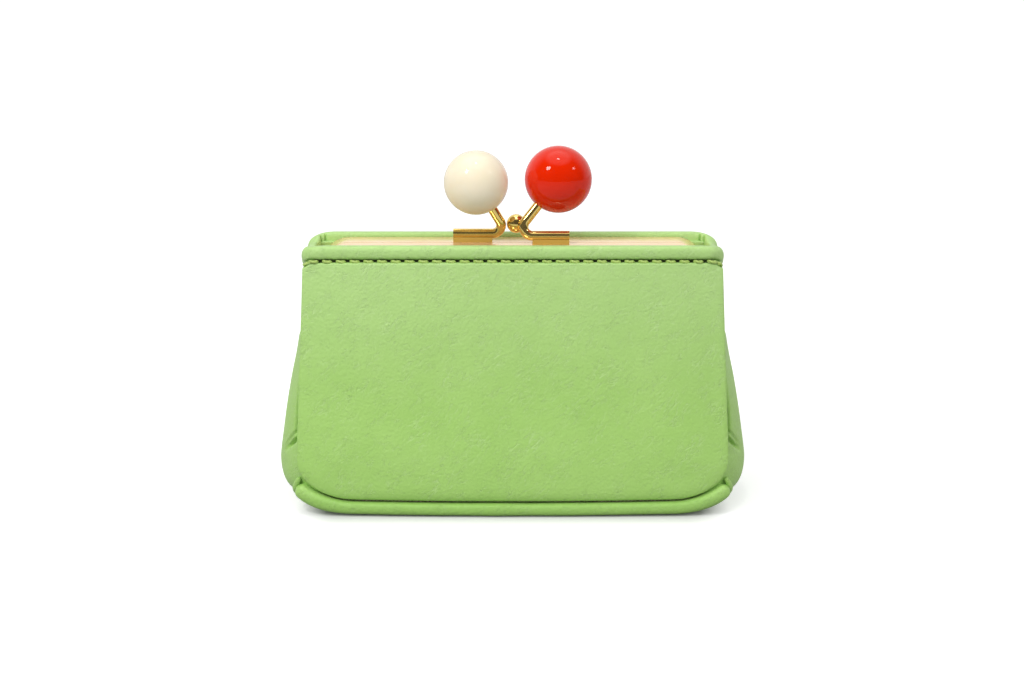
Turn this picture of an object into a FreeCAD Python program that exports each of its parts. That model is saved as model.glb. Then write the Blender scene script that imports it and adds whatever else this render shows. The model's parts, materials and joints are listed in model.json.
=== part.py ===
import FreeCAD, Part
import math
import os

import Sketcher
from FreeCAD import Vector

# A kiss lock frame purse in millimetres. The floor is z = 0, the front is -Y and the
# parting of the two frame halves is the plane y = 0. Each piece of the back half is
# modelled like its front twin and turned half round about Z.

# Driving sizes
SIZES = {
    # The leather body
    "panel_width": 121.6,
    "panel_foot_flare": 2.6,
    "rim_top": 77.0,
    "mouth_depth": 27.5,
    "base_depth": 49.0,
    "base_height": 4.5,
    "panel_corner": 13.0,
    "panel_leather": 1.6,
    "panel_edge_round": 0.7,
    "gusset_leather": 1.2,
    "gusset_top": 52.0,
    "gusset_bulge": 7.0,
    "gusset_bulge_height": 14.0,
    "gusset_foot_bulge": 4.6,
    "gusset_top_bulge": 1.1,
    "gusset_edge_inset": 0.6,
    "gusset_corner_tuck": 3.6,
    "base_end_reach": 2.1,
    "base_roll_proud": 0.6,
    "base_end_flat": 1.1,
    "base_skin": 1.4,
    "base_wall": 4.0,
    "base_round": 3.0,
    "base_top_round": 0.8,
    # The rolled rims and the strips that cover the frame's side arms
    "rim_height": 5.0,
    "rim_thickness": 3.6,
    "rim_wall": 1.1,
    "rim_flat": 0.2,
    "rim_corner": 3.4,
    "side_strip": 1.1,
    "side_strip_gap": 0.1,
    "side_strip_foot": 2.5,
    # Boards and lining inside the leather
    "board_thickness": 1.2,
    "board_inset": 4.0,
    "board_fold_above": 4.0,
    "board_fold_below": 7.0,
    "base_board_thickness": 1.6,
    "lining_thickness": 0.4,
    "lining_inset": 4.6,
    "lining_corner": 18.0,
    "glue_line": 0.05,
    # The metal frame and its hinges
    "seat_gap": 0.3,
    "split_gap": 0.4,
    "rail_drop": 0.8,
    "frame_wall": 0.9,
    "frame_flange": 3.0,
    "frame_corner": 8.0,
    "hinge_drop": 32.0,
    "tab_length": 7.0,
    "tab_lap": 3.0,
    "tab_eye": 6.4,
    "rivet_dia": 2.6,
    "rivet_clearance": 0.05,
    "rivet_head_dia": 4.6,
    "rivet_head": 0.7,
    "rivet_head_round": 0.3,
    "washer_thickness": 0.4,
    "washer_dia": 5.4,
    "washer_play": 0.05,
    # The kiss lock
    "rod_dia": 2.9,
    "saddle_height": 1.0,
    "saddle_lip": 0.5,
    "foot_inset": 0.3,
    "bend_radius": 2.6,
    "arm_tip_angle": 12.0,
    "red_bend_offset": 3.2,
    "red_lean_angle": 38.0,
    "red_arm_length": 15.6,
    "red_foot_length": 10.8,
    "red_bead_dia": 19.7,
    "cream_bend_offset": 3.4,
    "cream_lean_angle": 30.0,
    "cream_arm_length": 13.9,
    "cream_foot_length": 11.5,
    "cream_bead_dia": 18.8,
    "bead_bore_past_middle": 1.0,
    "catch_ball_dia": 5.6,
    "catch_ball_side": 2.3,
    "catch_ball_bite": 0.25,
    "catch_ball_turn": 13.0,
}

doc = FreeCAD.newDocument("kiss_lock_frame_purse")
sheet = doc.addObject("Spreadsheet::Sheet", "sizes")
for row, (alias, number) in enumerate(SIZES.items(), start=1):
    sheet.set(f"A{row}", str(number))
    sheet.setAlias(f"A{row}", alias)
doc.recompute()


class Size:
    """A size as a number and as an expression on the sheet, built with plain arithmetic."""

    def __init__(self, number, text):
        self.number = number
        self.text = text

    @staticmethod
    def of(value):
        """Take a bare number as a size."""
        return value if isinstance(value, Size) else Size(float(value), repr(float(value)))

    def __add__(self, other):
        other = Size.of(other)
        return Size(self.number + other.number, f"({self.text} + {other.text})")

    def __sub__(self, other):
        other = Size.of(other)
        return Size(self.number - other.number, f"({self.text} - {other.text})")

    def __mul__(self, other):
        other = Size.of(other)
        return Size(self.number * other.number, f"({self.text} * {other.text})")

    def __truediv__(self, other):
        other = Size.of(other)
        return Size(self.number / other.number, f"({self.text} / {other.text})")

    def __neg__(self):
        return Size(-self.number, f"(-1 * {self.text})")


def root(size):
    return Size(math.sqrt(size.number), f"sqrt({size.text})")


def sine(angle):
    return Size(math.sin(math.radians(angle.number)), f"sin({angle.text})")


def cosine(angle):
    return Size(math.cos(math.radians(angle.number)), f"cos({angle.text})")


def arctangent(ratio):
    return Size(math.degrees(math.atan(ratio.number)), f"atan({ratio.text})")


def size(alias):
    """Read one driving size from the sheet."""
    return Size(float(sheet.get(alias)), f"sizes.{alias}")


# Derived sizes that more than one piece uses
half_width = size("panel_width") / 2
half_mouth = size("mouth_depth") / 2
half_split = size("split_gap") / 2
half_rod = size("rod_dia") / 2
rim_foot = size("rim_top") - size("rim_height")
hinge_z = size("rim_top") - size("hinge_drop")
rail_top = size("rim_top") - size("rail_drop")
frame_half = half_width - size("rim_thickness") - size("seat_gap")
rail_outer = half_mouth - size("rim_thickness") - size("seat_gap")
arm_foot = hinge_z + size("tab_length")
rivet_hole = size("rivet_dia") / 2 + size("rivet_clearance")
washer_room = size("washer_thickness") + size("washer_play") * 2

# The panels lean out from the rims to the base
panel_rise = rim_foot - size("base_height")
panel_slope = (size("base_depth") - size("mouth_depth")) / 2 / panel_rise
panel_stretch = root(panel_slope * panel_slope + 1)
panel_lean = arctangent(panel_slope)
panel_foot_half = half_width + size("panel_foot_flare")
panel_flare = size("panel_foot_flare") / panel_rise
board_depth = size("panel_leather") + size("glue_line")
lining_depth = board_depth + size("board_thickness") + size("glue_line")

# Edges and faces are picked by their place to within this
TOUCH = 0.01


def seat(at=(0, 0, 0), axis=(1, 0, 0), angle=0):
    """Write a placement as an expression: turned about an axis, then moved."""
    place = "; ".join(Size.of(value).text for value in at)
    line = "; ".join(str(value) for value in axis)
    return (
        f"create(<<placement>>; create(<<vector>>; {place}); "
        f"create(<<rotation>>; create(<<vector>>; {line}); {Size.of(angle).text}))"
    )


HALF_TURN = seat(axis=(0, 0, 1), angle=180)


def put(piece, *seats):
    """Place a piece by the product of the given seats."""
    piece.setExpression("Placement", " * ".join(seats))


def side_seats(back, *seats):
    """Seats of a piece on the front half, or turned half round for the back half."""
    return (HALF_TURN, *seats) if back else seats


panel_seat = seat((0, -half_mouth, rim_foot), angle=-panel_lean)


def new_body(name):
    body = doc.addObject("PartDesign::Body", name)
    body.Label = name
    return body


def new_sketch(body, role, shift=0):
    """A sketch on one of the body's origin planes, shifted along that plane's normal."""
    sketch = body.newObject("Sketcher::SketchObject", f"{body.Name}_sketch")
    plane = next(feature for feature in body.Origin.OriginFeatures if feature.Role == role)
    sketch.AttachmentSupport = [(plane, "")]
    sketch.MapMode = "FlatFace"
    sketch.setExpression("AttachmentOffset.Base.z", Size.of(shift).text)
    return sketch


def bind(sketch, kind, value, *where):
    """Add a dimension to a sketch and bind it to the sheet."""
    index = sketch.addConstraint(Sketcher.Constraint(kind, *where, value.number))
    sketch.setExpression(f"Constraints[{index}]", value.text)


def pin_point(sketch, x, y, edge, end):
    """Dimension a point from the sketch's origin."""
    bind(sketch, "DistanceX", Size.of(x), -1, 1, edge, end)
    bind(sketch, "DistanceY", Size.of(y), -1, 1, edge, end)


def draw(sketch, corners, closed=True):
    """Draw lines and arcs through corners given as (x, y) or (x, y, radius).

    A radius makes the run to the next corner an arc, which bends left where the radius is
    positive and right where it is negative.
    """
    corners = [tuple(Size.of(value) for value in corner) for corner in corners]
    points = [Vector(corner[0].number, corner[1].number, 0) for corner in corners]
    runs = []
    for index in range(len(corners) if closed else len(corners) - 1):
        start, end = points[index], points[(index + 1) % len(points)]
        if len(corners[index]) == 2:
            edge = sketch.addGeometry(Part.LineSegment(start, end))
            runs.append((edge, 1, 2))
            continue
        radius = corners[index][2]
        side = math.copysign(1.0, radius.number)
        chord = end - start
        rise = math.sqrt(max(radius.number**2 - chord.Length**2 / 4, 0.0))
        centre = (start + end) * 0.5 + Vector(-chord.y, chord.x, 0).normalize() * rise * side
        first, last = (start, end) if side > 0 else (end, start)
        turn = [math.atan2(spot.y - centre.y, spot.x - centre.x) for spot in (first, last)]
        circle = Part.Circle(centre, Vector(0, 0, 1), abs(radius.number))
        edge = sketch.addGeometry(Part.ArcOfCircle(circle, *turn))
        bind(sketch, "Radius", Size(abs(radius.number), f"abs({radius.text})"), edge)
        runs.append((edge, 1, 2) if side > 0 else (edge, 2, 1))
    for index, (edge, start, end) in enumerate(runs):
        pin_point(sketch, corners[index][0], corners[index][1], edge, start)
        if closed or index + 1 < len(runs):
            after, after_start, _ = runs[(index + 1) % len(runs)]
            sketch.addConstraint(Sketcher.Constraint("Coincident", edge, end, after, after_start))
        else:
            pin_point(sketch, corners[-1][0], corners[-1][1], edge, end)


def draw_circle(sketch, x, y, radius):
    centre = Vector(Size.of(x).number, Size.of(y).number, 0)
    edge = sketch.addGeometry(Part.Circle(centre, Vector(0, 0, 1), radius.number))
    bind(sketch, "Radius", radius, edge)
    pin_point(sketch, x, y, edge, 3)


def draw_rounded_box(sketch, x, y, width, height, radius):
    """A rectangle about a middle point, with all four corners round."""
    left, right = x - width / 2, x + width / 2
    low, high = y - height / 2, y + height / 2
    draw(
        sketch,
        [
            (left + radius, low),
            (right - radius, low, radius),
            (right, low + radius),
            (right, high - radius, radius),
            (right - radius, high),
            (left + radius, high, radius),
            (left, high - radius),
            (left, low + radius, radius),
        ],
    )


def pad(body, sketch, length, backwards=False, both_ways=False):
    feature = body.newObject("PartDesign::Pad", f"{body.Name}_pad")
    feature.Profile = sketch
    feature.Reversed = backwards
    feature.Midplane = both_ways
    feature.setExpression("Length", Size.of(length).text)
    return feature


def pipe(body, kind, profile, path):
    feature = body.newObject(f"PartDesign::{kind}", f"{body.Name}_pipe")
    feature.Profile = profile
    feature.Spine = path
    return feature


def fillet(body, feature, radius, wanted):
    """Round the edges of a feature that the wanted test picks."""
    doc.recompute()
    edges = [f"Edge{i}" for i, edge in enumerate(feature.Shape.Edges, start=1) if wanted(edge)]
    rounded = body.newObject("PartDesign::Fillet", f"{body.Name}_fillet")
    rounded.Base = (feature, edges)
    rounded.setExpression("Radius", radius.text)
    return rounded


# The metal frame: an inverted channel bent over the mouth, with tabs at its hinges


def draw_frame_band(sketch, band):
    """The arch of one frame half, seen from the front: rail, corners and side arms."""
    corner = size("frame_corner")
    inside = frame_half - band
    middle = frame_half - corner
    shoulder = rail_top - corner
    draw(
        sketch,
        [
            (frame_half, arm_foot),
            (frame_half, shoulder, corner),
            (middle, rail_top),
            (-middle, rail_top, corner),
            (-frame_half, shoulder),
            (-frame_half, arm_foot),
            (-inside, arm_foot),
            (-inside, shoulder, band - corner),
            (-middle, rail_top - band),
            (middle, rail_top - band, band - corner),
            (inside, shoulder),
            (inside, arm_foot),
        ],
    )


def draw_hinge_tab(sketch):
    """The tapered tab that reaches from an arm's foot to an eye on the hinge axis."""
    eye = size("tab_eye") / 2
    reach = eye * cosine(Size.of(45))
    draw(
        sketch,
        [
            (-rail_outer, arm_foot + size("tab_lap")),
            (-rail_outer, arm_foot),
            (-reach, hinge_z - reach, eye),
            (reach, hinge_z - reach, eye),
            (reach, hinge_z + reach),
            (-half_split, arm_foot),
            (-half_split, arm_foot + size("tab_lap")),
        ],
    )


def make_frame(name, back):
    """One half of the frame. The front tabs lie outside the back ones on the rivets."""
    body = new_body(name)
    wall = size("frame_wall")
    inset = wall + washer_room if back else Size.of(0)
    web = new_sketch(body, "XZ_Plane", half_split)
    draw_frame_band(web, wall)
    pad(body, web, rail_outer - half_split)
    for shift in (half_split, rail_outer - wall):
        flange = new_sketch(body, "XZ_Plane", shift)
        draw_frame_band(flange, size("frame_flange"))
        pad(body, flange, wall)
    for shift in (frame_half - inset - wall, -frame_half + inset):
        tab = new_sketch(body, "YZ_Plane", shift)
        draw_hinge_tab(tab)
        pad(body, tab, wall)
    doc.recompute()
    eye = new_sketch(body, "YZ_Plane")
    draw_circle(eye, 0, hinge_z, rivet_hole)
    bore = body.newObject("PartDesign::Pocket", f"{name}_bore")
    bore.Profile = eye
    bore.Midplane = True
    bore.setExpression("Length", ((frame_half + wall) * 2).text)
    put(body, *side_seats(back, seat()))
    return body


def make_hinge_rivet(name, side):
    """A turned rivet with two flat heads round the stacked tabs."""
    body = new_body(name)
    shank = size("rivet_dia") / 2
    head = size("rivet_head_dia") / 2
    soft = size("rivet_head_round")
    play = size("washer_play")
    outer = frame_half + play
    inner = frame_half - size("frame_wall") * 2 - washer_room - play
    profile = new_sketch(body, "XZ_Plane")
    draw(
        profile,
        [
            (inner - size("rivet_head"), 0),
            (outer + size("rivet_head"), 0),
            (outer + size("rivet_head"), head - soft, soft),
            (outer + size("rivet_head") - soft, head),
            (outer, head),
            (outer, shank),
            (inner, shank),
            (inner, head),
            (inner - size("rivet_head") + soft, head, soft),
            (inner - size("rivet_head"), head - soft),
        ],
    )
    turned = body.newObject("PartDesign::Revolution", f"{name}_turned")
    turned.Profile = profile
    turned.ReferenceAxis = (profile, ["H_Axis"])
    turned.Angle = 360
    put(body, seat((0, 0, hinge_z)), *((HALF_TURN,) if side < 0 else ()))
    return body


def make_hinge_washer(name, side):
    """The thin washer that keeps the two tabs of a hinge apart."""
    body = new_body(name)
    inner = frame_half - size("frame_wall") - size("washer_play") - size("washer_thickness")
    profile = new_sketch(body, "YZ_Plane", inner)
    draw_circle(profile, 0, 0, size("washer_dia") / 2)
    draw_circle(profile, 0, 0, rivet_hole)
    pad(body, profile, size("washer_thickness"))
    put(body, seat((0, 0, hinge_z)), *((HALF_TURN,) if side < 0 else ()))
    return body


# The kiss lock: two bent rods on saddles, each with a bead, and the ball that they snap past


class ClaspSide:
    """The sizes and the seat of one half of the kiss lock."""

    def __init__(self, colour, back):
        self.back = back
        self.lean = size(f"{colour}_lean_angle")
        self.length = size(f"{colour}_arm_length")
        self.foot = size(f"{colour}_foot_length")
        self.bead = size(f"{colour}_bead_dia") / 2
        self.bend = size("bend_radius")
        foot_y = half_split + size("foot_inset") + half_rod
        rod_z = rail_top + size("saddle_height") + half_rod
        start = (size(f"{colour}_bend_offset") + self.bend, -foot_y, rod_z)
        self.rod_seat = side_seats(back, seat(start, angle=-size("arm_tip_angle")))
        self.foot_seat = side_seats(back, seat((start[0], -foot_y, rail_top)))
        self.bead_x = self.length * sine(self.lean) - self.bend * cosine(self.lean)
        self.bead_z = self.bend + self.bend * sine(self.lean) + self.length * cosine(self.lean)


def make_clasp_arm(name, clasp):
    """A rod that lies along the rail, turns up round its bend and leans out to its bead."""
    body = new_body(name)
    bend = clasp.bend
    across, up = bend * cosine(clasp.lean), bend + bend * sine(clasp.lean)
    path = new_sketch(body, "XZ_Plane")
    draw(
        path,
        [
            (clasp.foot, 0),
            (0, 0, -bend),
            (-bend, bend, -bend),
            (-across, up),
            (clasp.bead_x, clasp.bead_z),
        ],
        closed=False,
    )
    profile = new_sketch(body, "YZ_Plane", clasp.foot)
    draw_circle(profile, 0, 0, half_rod)
    pipe(body, "AdditivePipe", profile, path)
    put(body, *clasp.rod_seat)
    return body


def make_clasp_saddle(name, clasp):
    """The shoe brazed on the rail, hollowed along its top to take the rod's foot."""
    body = new_body(name)
    hollow = half_rod + size("glue_line")
    lip_z = size("saddle_height") + size("saddle_lip")
    drop = half_rod - size("saddle_lip")
    groove = root(hollow * hollow - drop * drop)
    profile = new_sketch(body, "YZ_Plane")
    draw(
        profile,
        [
            (-half_rod, 0),
            (half_rod, 0),
            (half_rod, lip_z),
            (groove, lip_z, -hollow),
            (-groove, lip_z),
            (-half_rod, lip_z),
        ],
    )
    pad(body, profile, clasp.foot)
    put(body, *clasp.foot_seat)
    return body


def make_bead(name, clasp):
    """A round bead with a blind bore for the end of its rod."""
    bead_seat = seat((clasp.bead_x, 0, clasp.bead_z), axis=(0, 1, 0), angle=clasp.lean)
    ball = doc.addObject("Part::Sphere", f"{name}_ball")
    ball.setExpression("Radius", clasp.bead.text)
    put(ball, bead_seat)
    bore = doc.addObject("Part::Cylinder", f"{name}_bore")
    bore.setExpression("Radius", (half_rod + size("glue_line")).text)
    bore.setExpression("Height", (clasp.bead + size("bead_bore_past_middle")).text)
    put(bore, bead_seat, seat((0, 0, -clasp.bead)))
    bead = doc.addObject("Part::Cut", name)
    bead.Label = name
    bead.Base, bead.Tool = ball, bore
    put(bead, *clasp.rod_seat)
    return bead


def make_catch_ball(name, clasp, arm):
    """The ball brazed behind the red rod's bend, seated in a dimple that the rod fills."""
    radius = size("catch_ball_dia") / 2
    side = size("catch_ball_side")
    reach = radius + half_rod - size("catch_ball_bite")
    behind = root(reach * reach - side * side)
    ball = doc.addObject("Part::Sphere", f"{name}_whole")
    ball.setExpression("Radius", radius.text)
    bend_seat = seat((0, 0, clasp.bend), axis=(0, 1, 0), angle=size("catch_ball_turn"))
    put(ball, *clasp.rod_seat, bend_seat, seat((-clasp.bend - side, behind, 0)))
    catch = doc.addObject("Part::Cut", name)
    catch.Label = name
    catch.Base, catch.Tool = ball, arm
    return catch


# The leather, its boards and its lining


def draw_rim_path(sketch):
    """The rim's middle line in plan: along one side arm, round the front and back again."""
    side = half_width - size("rim_thickness") / 2
    front = half_mouth - size("rim_thickness") / 2
    corner = size("rim_corner")
    draw(
        sketch,
        [
            (side, -half_split),
            (side, corner - front, -corner),
            (side - corner, -front),
            (corner - side, -front, -corner),
            (-side, corner - front),
            (-side, -half_split),
        ],
        closed=False,
    )


def rim_pipe(body, kind, width, height):
    """Run a rounded section along the rim's path."""
    path = new_sketch(body, "XY_Plane", rim_foot + size("rim_height") / 2)
    draw_rim_path(path)
    profile = new_sketch(body, "XZ_Plane", half_split)
    side = half_width - size("rim_thickness") / 2
    middle = rim_foot + size("rim_height") / 2
    draw_rounded_box(profile, side, middle, width, height, (width - size("rim_flat")) / 2)
    return pipe(body, kind, profile, path)


def make_rim(name, back):
    """The rolled leather rim, hollow for its filler cord."""
    body = new_body(name)
    rim_pipe(body, "AdditivePipe", size("rim_thickness"), size("rim_height"))
    doc.recompute()
    hollow = size("rim_wall") * 2
    rim_pipe(body, "SubtractivePipe", size("rim_thickness") - hollow, size("rim_height") - hollow)
    put(body, *side_seats(back, seat()))
    return body


def make_rim_cord(name, back):
    """The cord that fills the rolled rim."""
    body = new_body(name)
    hollow = (size("rim_wall") + size("glue_line")) * 2
    rim_pipe(body, "AdditivePipe", size("rim_thickness") - hollow, size("rim_height") - hollow)
    put(body, *side_seats(back, seat()))
    return body


def draw_apron(sketch, half_top, half_foot, top, foot, corner):
    """A panel outline seen square on: wider at its foot, with both lower corners round."""
    flare = arctangent((half_foot - half_top) / (foot - top))
    run = corner * cosine(flare) / (-sine(flare) + 1)
    low = run - half_foot
    side, rise = half_foot - run * sine(flare), run * cosine(flare) - foot
    draw(
        sketch,
        [
            (low, -foot),
            (-low, -foot, corner),
            (side, rise),
            (half_top, -top),
            (-half_top, -top),
            (-side, rise, corner),
        ],
    )


def panel_half(height):
    """Half the width of the panels at a height above the floor."""
    return half_width + panel_flare * (rim_foot - height)


def down_panel(height):
    """Distance down the leaning panel from its top edge to a height above the floor."""
    return (rim_foot - height) * panel_stretch


def make_panel(name, back):
    """The outer leather of one side, with its outward edge rounded."""
    body = new_body(name)
    outline = new_sketch(body, "XZ_Plane")
    tip = size("panel_leather") * panel_slope / panel_stretch
    foot = down_panel(size("base_height") + size("glue_line") + tip)
    draw_apron(outline, half_width, panel_foot_half, Size.of(0), foot, size("panel_corner"))
    leather = pad(body, outline, size("panel_leather"), backwards=True)
    fillet(
        body,
        leather,
        size("panel_edge_round"),
        lambda edge: abs(edge.BoundBox.YMax) < TOUCH and edge.BoundBox.ZMin < -TOUCH,
    )
    put(body, *side_seats(back, panel_seat))
    return body


def make_sheet(name, back, depth, thickness, outline):
    """A flat layer behind the panel leather, at a depth from its outer face."""
    body = new_body(name)
    sketch = new_sketch(body, "XZ_Plane", -depth)
    draw_apron(sketch, *outline)
    pad(body, sketch, thickness, backwards=True)
    put(body, *side_seats(back, panel_seat))
    return body


def make_upper_board(name, back):
    """The stiff board above the fold line, which swings with the frame half."""
    half = half_width - size("board_inset")
    foot = down_panel(hinge_z + size("board_fold_above"))
    outline = (half, half, size("glue_line"), foot, size("panel_edge_round"))
    return make_sheet(name, back, board_depth, size("board_thickness"), outline)


def make_lower_board(name, back):
    """The stiff board below the fold line, which stays with the base."""
    half = half_width - size("board_inset")
    top = down_panel(hinge_z - size("board_fold_below"))
    foot = down_panel(size("base_height") + size("board_inset"))
    outline = (half, half, top, foot, size("panel_corner") + size("board_inset"))
    return make_sheet(name, back, board_depth, size("board_thickness"), outline)


def make_lining(name, back):
    """The cloth on the inside of one panel, over both boards."""
    half = half_width - size("lining_inset")
    foot = down_panel(size("base_height") + size("board_inset"))
    outline = (half, half, size("glue_line"), foot, size("lining_corner"))
    return make_sheet(name, back, lining_depth, size("lining_thickness"), outline)


def make_side_strip(name, back, side):
    """The leather strip that covers one side arm of the frame above its hinge."""
    body = new_body(name)
    gap = size("side_strip_gap")
    foot = hinge_z + size("side_strip_foot")
    top = rim_foot - gap

    def front_edge(height):
        """How far forward the strip reaches at a height: to the back of the panel leather."""
        return half_mouth + panel_slope * (rim_foot - height) - board_depth * panel_stretch - gap

    start = frame_half + gap
    outline = new_sketch(body, "YZ_Plane", start if side > 0 else -start - size("side_strip"))
    head = size("rivet_head_dia")
    draw(
        outline,
        [
            (-front_edge(top), top),
            (-front_edge(foot), foot),
            (-head, foot),
            (-half_split, foot + head / 2),
            (-half_split, top),
        ],
    )
    pad(body, outline, size("side_strip"))
    put(body, *side_seats(back, seat()))
    return body


class GussetLevel:
    """One level section of a gusset: where its edges and its middle lie."""

    def __init__(self, height, edge_inset, bulge, depth):
        slope_y = half_mouth + panel_slope * (rim_foot - height) - board_depth * panel_stretch
        self.height = height.number
        self.edge_x = (panel_half(height) - edge_inset).number
        self.middle_x = (panel_half(height) + bulge).number
        self.edge_y = slope_y.number
        self.depth = depth

    def wire(self, thickness, side):
        """A closed wire of two arcs about one centre, as thick as the leather."""
        rise = self.middle_x - self.edge_x
        radius = (self.edge_y**2 + rise**2) / (2 * rise)
        centre = Vector(self.middle_x - radius, 0, self.height)
        sweep = math.asin(self.edge_y / radius)
        if rise > radius:
            sweep = math.pi - sweep

        def spot(inward, share):
            reach = radius - inward
            turn = sweep * share
            x = centre.x + reach * math.cos(turn)
            return Vector(side * x, reach * math.sin(turn), self.height)

        outer = [spot(self.depth, share) for share in (-1, 0, 1)]
        inner = [spot(self.depth + thickness, share) for share in (1, 0, -1)]
        edges = [
            Part.Arc(*outer).toShape(),
            Part.makeLine(outer[2], inner[0]),
            Part.Arc(*inner).toShape(),
            Part.makeLine(inner[2], outer[0]),
        ]
        return Part.Wire(edges)


def make_gusset(name, side, thickness, depth, top):
    """The side of the bag, swelling out between the panels, as a loft of level sections."""
    low = size("base_height") + size("glue_line")
    bulge_z = size("gusset_bulge_height")
    inset = size("gusset_edge_inset")
    tuck = size("gusset_corner_tuck")
    bulge = size("gusset_bulge")
    levels = [
        (low, size("panel_corner") - tuck, size("gusset_foot_bulge")),
        ((low + bulge_z) / 2, tuck, bulge - inset),
        (bulge_z, inset, bulge),
        (size("gusset_top"), inset, size("gusset_top_bulge")),
    ]
    if top.number < size("gusset_top").number:
        share = (top - bulge_z) / (size("gusset_top") - bulge_z)
        levels[-1] = (top, inset, bulge + (size("gusset_top_bulge") - bulge) * share)
    wires = [GussetLevel(*level, depth.number).wire(thickness.number, side) for level in levels]
    gusset = doc.addObject("Part::Feature", name)
    gusset.Label = name
    gusset.Shape = Part.makeLoft(wires, True, True)
    gusset.Placement = FreeCAD.Placement()
    return gusset


def draw_base_plan(sketch, inset):
    """The base seen from below: its ends are all but half circles."""
    half_length = panel_foot_half + size("base_end_reach") - inset
    half_depth = size("base_depth") / 2 + size("base_roll_proud") - inset
    corner = half_depth - size("base_end_flat")
    draw_rounded_box(sketch, Size.of(0), Size.of(0), half_length * 2, half_depth * 2, corner)


def make_base_panel(name):
    """The leather bottom, with a soft roll round its edge and a tray for the base board."""
    body = new_body(name)
    plan = new_sketch(body, "XY_Plane")
    draw_base_plan(plan, Size.of(0))
    block = pad(body, plan, size("base_height"))
    low = fillet(body, block, size("base_round"), lambda edge: edge.BoundBox.ZMax < TOUCH)
    top = size("base_height").number - TOUCH
    fillet(body, low, size("base_top_round"), lambda edge: edge.BoundBox.ZMin > top)
    doc.recompute()
    tray = new_sketch(body, "XY_Plane", size("base_height"))
    draw_base_plan(tray, size("base_wall"))
    recess = body.newObject("PartDesign::Pocket", f"{name}_tray")
    recess.Profile = tray
    recess.setExpression("Length", (size("base_height") - size("base_skin")).text)
    put(body, seat())
    return body


def make_base_sheet(name, floor, thickness):
    """A flat layer lying in the tray of the base."""
    body = new_body(name)
    plan = new_sketch(body, "XY_Plane", floor)
    draw_base_plan(plan, size("base_wall") + size("glue_line"))
    pad(body, plan, thickness)
    put(body, seat())
    return body


def build():
    """Make every piece, front half, back half and bag."""
    pieces = []
    arms = {}
    for half, colour, back in (("front", "red", False), ("back", "cream", True)):
        clasp = ClaspSide(colour, back)
        arms[half] = make_clasp_arm(f"{half}_clasp_arm", clasp)
        pieces += [
            make_frame(f"{half}_frame", back),
            make_rim(f"{half}_rim", back),
            make_rim_cord(f"{half}_rim_cord", back),
            make_panel(f"{half}_panel", back),
            make_upper_board(f"{half}_upper_board", back),
            make_lower_board(f"{half}_lower_board", back),
            make_lining(f"{half}_lining", back),
            arms[half],
            make_clasp_saddle(f"{half}_clasp_saddle", clasp),
            make_bead(f"{colour}_bead", clasp),
        ]
        for name, side in (("left", -1), ("right", 1)):
            local_side = -side if back else side
            pieces.append(make_side_strip(f"{half}_{name}_side_strip", back, local_side))
    pieces.append(make_catch_ball("catch_ball", ClaspSide("red", False), arms["front"]))
    skin = size("gusset_leather")
    for name, side in (("left", -1), ("right", 1)):
        lining_top = hinge_z - size("board_fold_below")
        pieces += [
            make_hinge_rivet(f"{name}_hinge_rivet", side),
            make_hinge_washer(f"{name}_hinge_washer", side),
            make_gusset(f"{name}_gusset", side, skin, Size.of(0), size("gusset_top")),
            make_gusset(
                f"{name}_gusset_lining",
                side,
                size("lining_thickness"),
                skin + size("glue_line"),
                lining_top,
            ),
        ]
    board_floor = size("base_skin") + size("glue_line")
    lining_floor = board_floor + size("base_board_thickness") + size("glue_line")
    pieces += [
        make_base_panel("base_panel"),
        make_base_sheet("base_board", board_floor, size("base_board_thickness")),
        make_base_sheet("base_lining", lining_floor, size("lining_thickness")),
    ]
    return pieces


def check(pieces):
    """Stop where an object failed or a piece has no sound shape."""
    for item in doc.Objects:
        if "Invalid" in item.State or "Error" in item.State:
            raise RuntimeError(f"{item.Label} failed: {item.State}")
    for piece in pieces:
        if piece.Shape.isNull() or not piece.Shape.isValid():
            raise RuntimeError(f"{piece.Label} has no sound shape")


pieces = build()
doc.recompute()
check(pieces)
os.makedirs("parts", exist_ok=True)
for piece in pieces:
    piece.Shape.exportStep(f"parts/{piece.Label}.step")
print(f"{len(pieces)} pieces written")
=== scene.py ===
"""Looks of a kiss lock frame purse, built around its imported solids.

Sizes here are millimetres in the frame of the solids: x to the right, y to the back, z up from
the floor. A piece is shaped as one of the front half, turned half round where it belongs to the
back, and scaled to metres when it is finished.
"""

from __future__ import annotations

import functools
import json
import logging
import math
from dataclasses import dataclass, field
from enum import Enum
from typing import Callable, Iterable, Mapping, Sequence

import bmesh
import bpy
from bmesh.types import BMEdge, BMesh, BMFace, BMVert
from bpy.types import Light, Material, Node, NodeSocket, NodeTree, Object
from mathutils import Matrix, Vector, noise

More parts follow.
